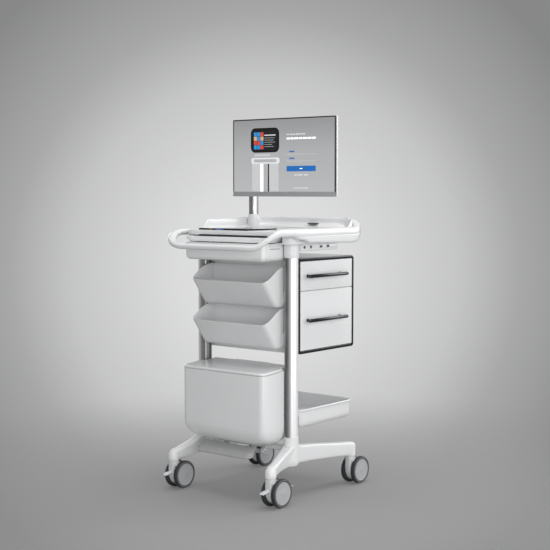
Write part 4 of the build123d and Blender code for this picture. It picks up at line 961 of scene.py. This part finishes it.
bm = bmesh.new()
rings = []
for x in [-176 + 352 * k / 24 for k in range(25)]:
    e = abs(x) / 176.0
    zl = 168.0 - 30.0 * smoothstep((e - 0.90) / 0.10)
    rings.append([(x, y, z) for y, z in rr(-110, -84, zl, 186, 6, 5)])
loft(bm, rings)
for s_ in (-1, 1):
    prism(bm, "YZ", rpoly([(-131, 158), (-126, 149.5), (-114, 150), (-104, 170), (-100, 178), (-112, 178), (-129, 166)], [6, 6, 6, 3, 2, 2, 6], 5), *sorted((s_ * 82.5, s_ * 97.5)), 1.0)
finish_obj("base_cross_bar", bm, CAST, "frame", ["base_crossbeam"], 40)

# ------------------------------------------------------------------ casters
for tag, sx, sy, brake in (("fl", -227, -249, True), ("fr", 227, -249, True), ("bl", -227, 215, False), ("br", 227, 215, False)):
    cy, cz = sy + 32, 50
    # body: round swivel tower whose front shell runs down between the wheels
    bm = bmesh.new()
    disc_stack(bm, "XY", (sx, sy), [(15.5, 84), (17.6, 88), (18.0, 92), (18.0, 102.2), (17.0, 103.8), (6, 104)], 48)
    disc_stack(bm, "XY", (sx, sy), [(6, 103), (6, 130)], 24)
    prof = rpoly([(sy - 17, 100), (sy - 17.5, 70), (sy - 15, 44), (sy - 3, 24), (cy - 10, 15), (cy + 8, 17), (cy + 30, 30), (cy + 40, 50), (cy + 34, 74), (cy + 16, 90), (sy + 16, 98), (sy + 16, 100)], [2, 20, 20, 16, 14, 14, 14, 16, 16, 14, 4, 2], 6)
    prism(bm, "YZ", prof, sx - 11.3, sx + 11.3, 3.0, 4)
    if not brake:
        finish_obj("caster_tower_" + tag, bm, GREY, "swivel_" + tag, ["caster_body_" + tag], 50)
    else:
        o = finish_obj("caster_tower_" + tag, bm, GREY, "swivel_" + tag, ["caster_body_" + tag], 50)
    bm = bmesh.new()
    # hubs
    for s in (-1, 1):
        disc_stack(bm, "YZ", (cy, cz), [(40.2, sx + s * 12.6), (40.2, sx + s * 28.9), (39.6, sx + s * 29.8), (38.6, sx + s * 30.1), (37.6, sx + s * 29.7), (37.0, sx + s * 29.2),
                                        (36.2, sx + s * 29.1), (12.0, sx + s * 29.3), (11.4, sx + s * 29.4), (10.8, sx + s * 29.1), (10.2, sx + s * 29.5), (9.4, sx + s * 29.8), (0.5, sx + s * 30.1)], 72)
    finish_obj("wheel_hub_" + tag, bm, HUB, "wheels_" + tag, ["caster_hubs_" + tag], 50)
    bm = bmesh.new()
    for s in (-1, 1):
        o_ = sx + s * 30.5
        i_ = sx + s * 12.5
        m_ = sx + s * 21.5
        # rounded tread with two running grooves
        layers = [(40.3, i_), (44.0, i_), (47.6, i_ + s * 1.0), (49.4, i_ + s * 3.0), (50.0, i_ + s * 5.4), (50.0, m_ - s * 2.6), (49.1, m_ - s * 2.2), (49.1, m_ + s * 2.2), (50.0, m_ + s * 2.6),
                  (50.0, o_ - s * 5.4), (49.4, o_ - s * 3.0), (48.4, o_ - s * 1.2), (47.0, o_ - s * 0.3), (46.6, o_ - s * 0.15)]
        disc_stack(bm, "YZ", (cy, cz), layers, 96, cap=(False, False), mat=0)
        disc_stack(bm, "YZ", (cy, cz), [(46.6, o_ - s * 0.15), (46.3, o_ - s * 0.8), (43.9, o_ - s * 0.8), (43.6, o_ - s * 0.15)], 96, cap=(False, False), mat=1)
        disc_stack(bm, "YZ", (cy, cz), [(43.6, o_ - s * 0.15), (42.4, o_ - s * 0.1), (41.2, o_ - s * 0.4), (40.5, o_ - s * 1.2), (40.3, o_ - s * 4), (40.3, i_)], 96, cap=(False, False), mat=0)
    finish_obj("wheel_tyre_" + tag, bm, [TYRE, TYRE_BAND], "wheels_" + tag, ["caster_tyres_" + tag], 40)
    if brake:
        bm = bmesh.new()
        prism(bm, "YZ", rpoly([(cy - 54, 61), (cy - 54, 68), (cy - 20, 71), (cy + 20, 71), (cy + 55, 66), (cy + 55, 60.5), (cy + 20, 62), (cy - 20, 62)], 2, 3), sx - 5, sx + 5, 0.8)
        for a, b, za, zb, w in ((cy - 80.2, cy - 52, 57.5, 64.5, 12), (cy + 52, cy + 84.5, 63, 57, 12.5)):
            rings = []
            for k in range(13):
                t = k / 12
                y = a + (b - a) * t
                z = za + (zb - za) * t + 1.5 * math.sin(math.pi * t)
                tip = (t if a < cy - 60 else 1 - t)
                ww = w * (0.80 + 0.20 * math.sin(math.pi * min(1, tip * 3) / 2))
                hh = 1.5 + 0.6 * (1 - abs(2 * t - 1))
                rings.append([(sx + ww * math.cos(q), y, z + hh * math.sin(q)) for q in [2 * math.pi * j / 20 for j in range(20)]])
            loft(bm, rings)
        finish_obj("brake_treadle_" + tag, bm, TAB, "brake_" + tag, ["brake_rocker_" + tag], 50)

# ------------------------------------------------------------------ drawer cabinet
bm = bmesh.new()
rings = []
Y0, Y1, Z0, Z1 = -80, 250, 509, 845
layers = [(i, -215 + h) for i, h in quarter(8.0, 5)] + [(0, 209)]
outer = [place("YZ", t, rr(Y0 + i, Y1 - i, Z0 + i, Z1 - i, 12 - i * 0.9, 6)) for i, t in layers]
inner = [place("YZ", t, rr(Y0 + 7, Y1 - 7, Z0 + 7, Z1 - 7, 5, 6)) for t in (209, -205)]
loft(bm, outer + inner)
rstack(bm, "XY", (-206, 206, -73.5, 243.5), 1, 728.2, 730.8, 0.2, 0.2, 2, 1)
finish_obj("cabinet_shell", bm, WHITE, "frame", ["drawer_cabinet"], 40)

bm = bmesh.new()
o1 = (Y0, Y1, Z0, Z1)
rings = []
for dx, i, r in ((209.0, 0, 12), (213.2, 0, 12), (214.4, 0.5, 11.5), (215.0, 1.8, 10.5), (215.0, 8.6, 5.5), (214.2, 10.4, 4.6), (213.0, 11.0, 4.2), (209.0, 11.0, 4.2)):
    rings.append(place("YZ", dx, rr(Y0 + i, Y1 - i, Z0 + i, Z1 - i, r, 8)))
loft(bm, rings, closed=True)
finish_obj("cabinet_chrome_frame", bm, CHROME_Y, "frame", ["cabinet_trim"], 35)

for nm, body, z0, z1, hz in (("upper", "drawer_top", 730.25, 833.5, 782.0), ("lower", "drawer_bottom", 520.5, 728.75, 626.0)):
    bm = bmesh.new()
    rstack(bm, "YZ", (-68.5, 238.5, z0, z1), 3.5, 209.5, 214.5, 0.3, 1.4, 5, 4)
    # open box behind the front
    yb0, yb1 = -55.5, 225.5
    rings = []
    for i, t in ((0, z0 + 10), (0, z1 - 14), (0.4, z1 - 13.6), (1.8, z1 - 13.6), (2.2, z1 - 14), (2.2, z0 + 12.5)):
        rings.append(place("XY", t, rr(-185.5 + i, 209.5 - i, yb0 + i, yb1 - i, 4, 4)))
    loft(bm, rings)
    finish_obj("drawer_front_and_box_" + nm, bm, WHITE_SATIN, body, ["drawer_" + nm], 40)
    # bar handle: turned bar, domed ends, two posts with flanges
    bm = bmesh.new()
    lay = [(0.6, -47.0), (3.8, -46.8), (5.7, -45.9), (6.4, -44.2), (6.4, 178.2), (5.7, 179.9), (3.8, 180.8), (0.6, 181.0)]
    disc_stack(bm, "XZ", (237.0, hz), lay, 36)
    for py in (-28, 162):
        disc_stack(bm, "YZ", (py, hz), [(6.6, 214.4), (6.6, 215.6), (5.6, 216.4), (4.0, 217.4), (3.8, 231), (4.6, 234), (4.6, 236)], 32)
    finish_obj("bar_handle_" + nm, bm, CHROME_Y, body, ["drawer_handle_" + nm], 35)

# ------------------------------------------------------------------ lower tray with a rolled lip
bm = bmesh.new()
X0, X1, YA, YB = -215, 215, -75, 262
rings = []
for i, z in [(3.4 + a, 244.2 + h) for a, h in quarter(22, 8)] + [(3.2, 280), (3.0, 300), (2.6, 302.6), (1.4, 304.4), (0.2, 305.6), (0.0, 307.4), (0.5, 309.4), (1.8, 310.7), (3.6, 311), (5.2, 310.6), (6.2, 309.4), (6.6, 306), (6.8, 298), (7, 278)] + [(7 + a, 249.0 + h) for a, h in quarter(17, 6)[::-1]]:
    rings.append(place("XY", z, rr(X0 + i, X1 - i, YA + i, YB - i, max(8, 40 - 0.8 * i), 12)))
loft(bm, rings)
finish_obj("open_tray", bm, WHITE, "frame", ["lower_tray"], 45)

# ------------------------------------------------------------------ monitor
bm = bmesh.new()
SX, SZ0, SZ1 = 236.5, 1077.0, 1342.5
rings = [place("XZ", 104.6, rr(-241, 241, 1059, 1347, 4, 5)), place("XZ", 99.6, rr(-241, 241, 1059, 1347, 4, 5)), place("XZ", 98.8, rr(-240.4, 240.4, 1059.6, 1346.4, 3.6, 5)),
         place("XZ", 98.6, rr(-239.6, 239.6, 1060.4, 1345.6, 3.2, 5)), place("XZ", 98.6, rr(-SX - 0.3, SX + 0.3, SZ0 - 0.3, SZ1 + 0.3, 0.6, 5)), place("XZ", 99.8, rr(-SX, SX, SZ0, SZ1, 0.6, 5)), place("XZ", 104.6, rr(-SX, SX, SZ0, SZ1, 0.6, 5))]
loft(bm, rings, closed=True)
bz = finish_obj("display_frame", bm, BEZEL, "monitor", ["monitor_bezel"], 35)
bm = bmesh.new()
rings = [place("XZ", 104.5, rr(-241, 241, 1059, 1077.2, 3.2, 5)), place("XZ", 98.9, rr(-241, 241, 1059, 1077.2, 3.2, 5)), place("XZ", 98.3, rr(-240.4, 240.4, 1059.5, 1076.6, 2.8, 5))]
loft(bm, rings)
finish_obj("display_chin", bm, SILVER, "monitor", (), 35)
bm = bmesh.new()
rings = []
for y, i in ((104.0, 0.2), (106, 0.0), (112.5, 0.0), (115, 0.8), (116.4, 2.2), (116.9, 4.4)):
    rings.append(place("XZ", y, rr(-241 + i, 241 - i, 1059 + i, 1347 - i, 5, 6)))
loft(bm, rings)
finish_obj("display_back", bm, WHITE_SATIN, "monitor", ["monitor_rear_cover"], 35)
# vents in the back cover
bm = bmesh.new()
for k in range(22):
    x = -105 + 10 * k
    rings = [place("XZ", 116.6, rr(x - 1.6, x + 1.6, 1292, 1316, 1.5, 3)), place("XZ", 117.1, rr(x - 1.6, x + 1.6, 1292, 1316, 1.5, 3))]
    loft(bm, rings)
finish_obj("display_back_vents", bm, DARK, "monitor", ())

# screen panel with a soft grey gradient
m, nt, b = mat_new("screen_ground")
tc = nt.nodes.new("ShaderNodeTexCoord")
sep = nt.nodes.new("ShaderNodeSeparateXYZ")
link(nt, tc.outputs["Generated"], sep.inputs["Vector"])
r_ = ramp(nt, sep.outputs["Z"], [(0.0, (0.50, 0.505, 0.51)), (0.55, (0.44, 0.445, 0.45)), (1.0, (0.31, 0.312, 0.316))])
dn = noise(nt, 700.0, 1.0)
mx = nt.nodes.new("ShaderNodeMix"); mx.data_type = "RGBA"; mx.blend_type = "MULTIPLY"
mx.inputs[0].default_value = 0.06
link(nt, r_.outputs["Color"], mx.inputs[6]); link(nt, dn.outputs["Color"], mx.inputs[7])
link(nt, mx.outputs[2], b.inputs["Emission Color"])
b.inputs["Base Color"].default_value = (0.02, 0.02, 0.022, 1)
b.inputs["Emission Strength"].default_value = 0.95
b.inputs["Roughness"].default_value = 0.22
SCREEN = m
bm = bmesh.new()
rings = [place("XZ", 103.5, rr(-SX + .1, SX - .1, SZ0 + .1, SZ1 - .1, 0.5, 3)), place("XZ", 99.7, rr(-SX + .1, SX - .1, SZ0 + .1, SZ1 - .1, 0.5, 3))]
loft(bm, rings)
finish_obj("screen_glass", bm, SCREEN, "monitor", ["display_panel"])

# picture on the screen: plain generic shapes, no lettering
PIC = {
    "ink": flat("pic_ink", (0.006, 0.0065, 0.007), 0.3, 0.0),
    "ink2": flat("pic_ink2", (0.014, 0.015, 0.016), 0.3, 0.2),
    "light": flat("pic_light", (0.50, 0.505, 0.51), 0.4, 0.8),
    "mid": flat("pic_mid", (0.29, 0.293, 0.297), 0.4, 0.8),
    "pale": flat("pic_pale", (0.385, 0.388, 0.392), 0.4, 0.8),
    "blue": flat("pic_blue", (0.009, 0.092, 0.30), 0.4, 0.85),
    "sky": flat("pic_sky", (0.018, 0.18, 0.42), 0.4, 0.85),
    "red": flat("pic_red", (0.42, 0.042, 0.028), 0.4, 0.85),
    "sand": flat("pic_sand", (0.46, 0.28, 0.14), 0.4, 0.85),
    "white": flat("pic_white", (0.86, 0.86, 0.86), 0.4, 0.95),
}
pic_bm = {k: bmesh.new() for k in PIC}


def bar(key, x0, x1, z0, z1, r=0.4, lift=0.25):
    ring = rr(x0, x1, z0, z1, r, 4)
    loft(pic_bm[key], [place("XZ", 99.8, ring), place("XZ", 99.7 - lift, ring)])


# left: a simple floor-standing terminal
bar("pale", -147, -20, 1077.6, 1184, 1, 0.10)
bar("white", -107, -93, 1077.6, 1184, 0.5, 0.14)
bar("mid", -92, -70, 1077.6, 1184, 0.5, 0.14)
bar("ink2", -70.5, -64.5, 1077.6, 1184, 0.5, 0.18)
bar("light", -151, -15, 1180, 1203, 9, 0.22)
bar("mid", -138, -30, 1186, 1197, 4, 0.28)
bar("mid", -138, -30, 1206.5, 1218, 2, 0.20)
bar("pale", -135, -60, 1208.5, 1216, 1.5, 0.26)
bar("ink", -153, -17, 1222, 1313, 20, 0.20)
bar("ink2", -143, -27, 1230, 1303, 8, 0.24)
tiles = [(-138, 1282.5, "sky"), (-122, 1282.5, "sky"), (-106, 1282.5, "red"), (-138, 1266.5, "sand"), (-122, 1266.5, "sky"), (-106, 1266.5, "sand"),
         (-138, 1250.5, "red"), (-122, 1250.5, "red"), (-106, 1250.5, "sky"), (-138, 1234.5, "sky"), (-122, 1234.5, "sky"), (-106, 1234.5, "red")]
for x, z, k in tiles:
    bar(k, x, x + 14.2, z, z + 14.6, 0.8, 0.32)
bar("light", -88, -34, 1284, 1287.5, 0.5, 0.30)
for j, w in enumerate((50, 44, 52, 38, 46)):
    bar("mid", -88, -88 + w, 1275 - 8 * j, 1276.6 - 8 * j, 0.5, 0.30)
# right: heading bars, two fields, a button, a foot line
for x0, x1 in ((18, 30), (33, 42), (45, 57), (60, 74), (77, 88), (91, 104)):
    bar("light", x0, x1, 1284, 1288, 0.8)
for x0, x1 in ((18, 34), (37, 50), (53, 72), (75, 90), (93, 112), (115, 132), (135, 152)):
    bar("white", x0, x1, 1268, 1274, 1.0)
for z, zl in ((1221, 1213), (1196, 1188)):
    bar("blue", 30, 54, z, z + 5.0, 1.0)
    bar("light", 18, 152, zl, zl + 0.7, 0.3)
bar("blue", 18, 152, 1151, 1171, 1.2, 0.30)
bar("white", 79, 91, 1159.5, 1162.5, 0.8, 0.36)
for x0, x1 in ((54, 66), (69, 90), (97, 116)):
    bar("light", x0, x1, 1136, 1139.5, 0.7)
bar("light", 52, 118, 1089, 1091.6, 0.7)
first = True
for k, bmx in pic_bm.items():
    finish_obj("screen_picture_" + k, bmx, PIC[k], "monitor", ())

# ------------------------------------------------------------------ pole collar
bm = bmesh.new()
PX, PY = -214.0, 188.0
disc_stack(bm, "XY", (PX, PY), [(18.1, 941), (21.4, 941), (21.4, 987), (20.9, 989.6), (19.6, 990.8), (18.1, 991), (18.1, 941.5)], 48, cap=(False, False))
finish_obj("pole_socket", bm, WHITE, "frame", ["pole_collar"], 40)

# ------------------------------------------------------------------ CAD nodes that stay: materials
KEEP = {
    "column_left": COL_L, "column_right": COL_R, "monitor_pole": COL_P,
    "column_brackets": STEEL, "hinge_pins": STEEL, "tray_rails": STEEL, "drawer_slides": STEEL,
    "caster_axle_fl": STEEL, "caster_axle_fr": STEEL, "caster_axle_bl": STEEL, "caster_axle_br": STEEL,
    "monitor_arm": WHITE_SATIN, "monitor_head": ALU, "vesa_plate": ALU,
}
for n, m in KEEP.items():
    o = NODES[n]
    o.data.materials.clear()
    o.data.materials.append(m)
    if n in ("monitor_arm", "monitor_head", "vesa_plate"):
        bv = o.modifiers.new("edge", "BEVEL")
        bv.width = 0.0012
        bv.segments = 3
        bv.limit_method = "ANGLE"
        bv.angle_limit = rad(50)
        bv.harden_normals = False

# ------------------------------------------------------------------ stage, light, camera
m, nt, b = mat_new("studio_floor")
tc = nt.nodes.new("ShaderNodeTexCoord")
ln = nt.nodes.new("ShaderNodeVectorMath"); ln.operation = "LENGTH"
link(nt, tc.outputs["Object"], ln.inputs[0])
al = nt.nodes.new("ShaderNodeMapRange")
al.interpolation_type = "SMOOTHSTEP"
al.inputs["From Min"].default_value = 0.25
al.inputs["From Max"].default_value = 2.2
al.inputs["To Min"].default_value = 0.80
al.inputs["To Max"].default_value = 0.0
link(nt, ln.outputs["Value"], al.inputs["Value"])
link(nt, al.outputs["Result"], b.inputs["Alpha"])
n1 = noise(nt, 1.5, 3.0)
r_ = ramp(nt, n1.outputs["Fac"], [(0.3, (0.300, 0.300, 0.300)), (0.7, (0.310, 0.310, 0.310))])
link(nt, r_.outputs["Color"], b.inputs["Base Color"])
b.inputs["Roughness"].default_value = 0.7
b.inputs["Specular IOR Level"].default_value = 0.15
bm = bmesh.new()
bmesh.ops.create_circle(bm, cap_ends=True, segments=96, radius=4.0)
me = bpy.data.meshes.new("floor"); bm.to_mesh(me); bm.free()
floor = bpy.data.objects.new("floor", me)
COL.objects.link(floor)
me.materials.append(m)

cam_d = bpy.data.cameras.new("cam")
cam = bpy.data.objects.new("cam", cam_d)
COL.objects.link(cam)
cam_d.sensor_width = 36.0
cam_d.lens = 80.465
cam_d.clip_end = 100
cam.location = (2.83447, -3.44217, 1.08295)
PITCH, YAW = 0.0690, 0.6812
fwd = Vector((-math.sin(YAW) * math.cos(PITCH), math.cos(YAW) * math.cos(PITCH), -math.sin(PITCH)))
cam.rotation_mode = "QUATERNION"
cam.rotation_quaternion = fwd.to_track_quat("-Z", "Y")
bpy.context.scene.camera = cam

# world: soft bright patch behind the object, dim grey all round
w = bpy.data.worlds.new("studio")
bpy.context.scene.world = w
w.use_nodes = True
nt = w.node_tree
bg = nt.nodes["Background"]
tc = nt.nodes.new("ShaderNodeTexCoord")
nrm = nt.nodes.new("ShaderNodeVectorMath"); nrm.operation = "NORMALIZE"
link(nt, tc.outputs["Generated"], nrm.inputs[0])
dot = nt.nodes.new("ShaderNodeVectorMath"); dot.operation = "DOT_PRODUCT"
link(nt, nrm.outputs["Vector"], dot.inputs[0])
dot.inputs[1].default_value = (Matrix.Rotation(0.008, 3, "Z") @ (fwd + Vector((0, 0, 0.004)))).normalized()
ac = nt.nodes.new("ShaderNodeMath"); ac.operation = "ARCCOSINE"
link(nt, dot.outputs["Value"], ac.inputs[0])
r_ = ramp(nt, ac.outputs["Value"], [(0.0, (0.76, 0.762, 0.765)), (0.07, (0.71, 0.712, 0.715)), (0.155, (0.56, 0.562, 0.565)), (0.205, (0.39, 0.391, 0.394)), (0.285, (0.245, 0.246, 0.249)), (0.7, (0.27, 0.271, 0.274)), (1.0, (0.30, 0.301, 0.304))])
link(nt, r_.outputs["Color"], bg.inputs["Color"])
bg.inputs["Strength"].default_value = 1.0


def area(name, loc, target, size, power, size_y=None, glossy=True, diffuse=True):
    d = bpy.data.lights.new(name, "AREA")
    d.energy = power
    d.shape = "RECTANGLE"
    d.size = size
    d.size_y = size_y or size
    o = bpy.data.objects.new(name, d)
    COL.objects.link(o)
    o.location = loc
    o.rotation_mode = "QUATERNION"
    o.rotation_quaternion = (Vector(target) - Vector(loc)).to_track_quat("-Z", "Y")
    o.visible_camera = False
    o.visible_glossy = glossy
    o.visible_diffuse = diffuse
    return o


area("key_right", (3.4, 0.3, 1.1), (0, 0, 0.7), 2.6, 38, 2.6)
area("top", (0.2, 0.0, 3.4), (0, 0, 0.6), 2.6, 66)
area("front_fill", (-0.4, -4.2, 0.95), (0, 0, 0.7), 2.6, 7, 2.6, glossy=False)
area("front_right_card", (2.75, -2.25, 0.9), (0, 0, 0.65), 0.9, 38, 2.3)
area("front_strip", (0.55, -4.3, 1.3), (0, 0, 0.7), 0.40, 13, 2.6)
area("back_right", (1.6, 3.6, 2.0), (0, 0, 0.8), 2.0, 46, 2.4)
area("left_edge", (-3.4, 1.9, 1.3), (0, 0, 0.8), 0.4, 10, 2.4)

# matt black flag material; it is made here but no flag object uses it
m, nt, b = mat_new("flag_black")
n1 = noise(nt, 3.0)
r_ = ramp(nt, n1.outputs["Fac"], [(0.3, (0.006, 0.006, 0.006)), (0.7, (0.010, 0.010, 0.010))])
link(nt, r_.outputs["Color"], b.inputs["Base Color"])
b.inputs["Roughness"].default_value = 0.9
b.inputs["Specular IOR Level"].default_value = 0.0
FLAG = m



bpy.context.scene.view_settings.view_transform = "Standard"
bpy.context.view_layer.update()
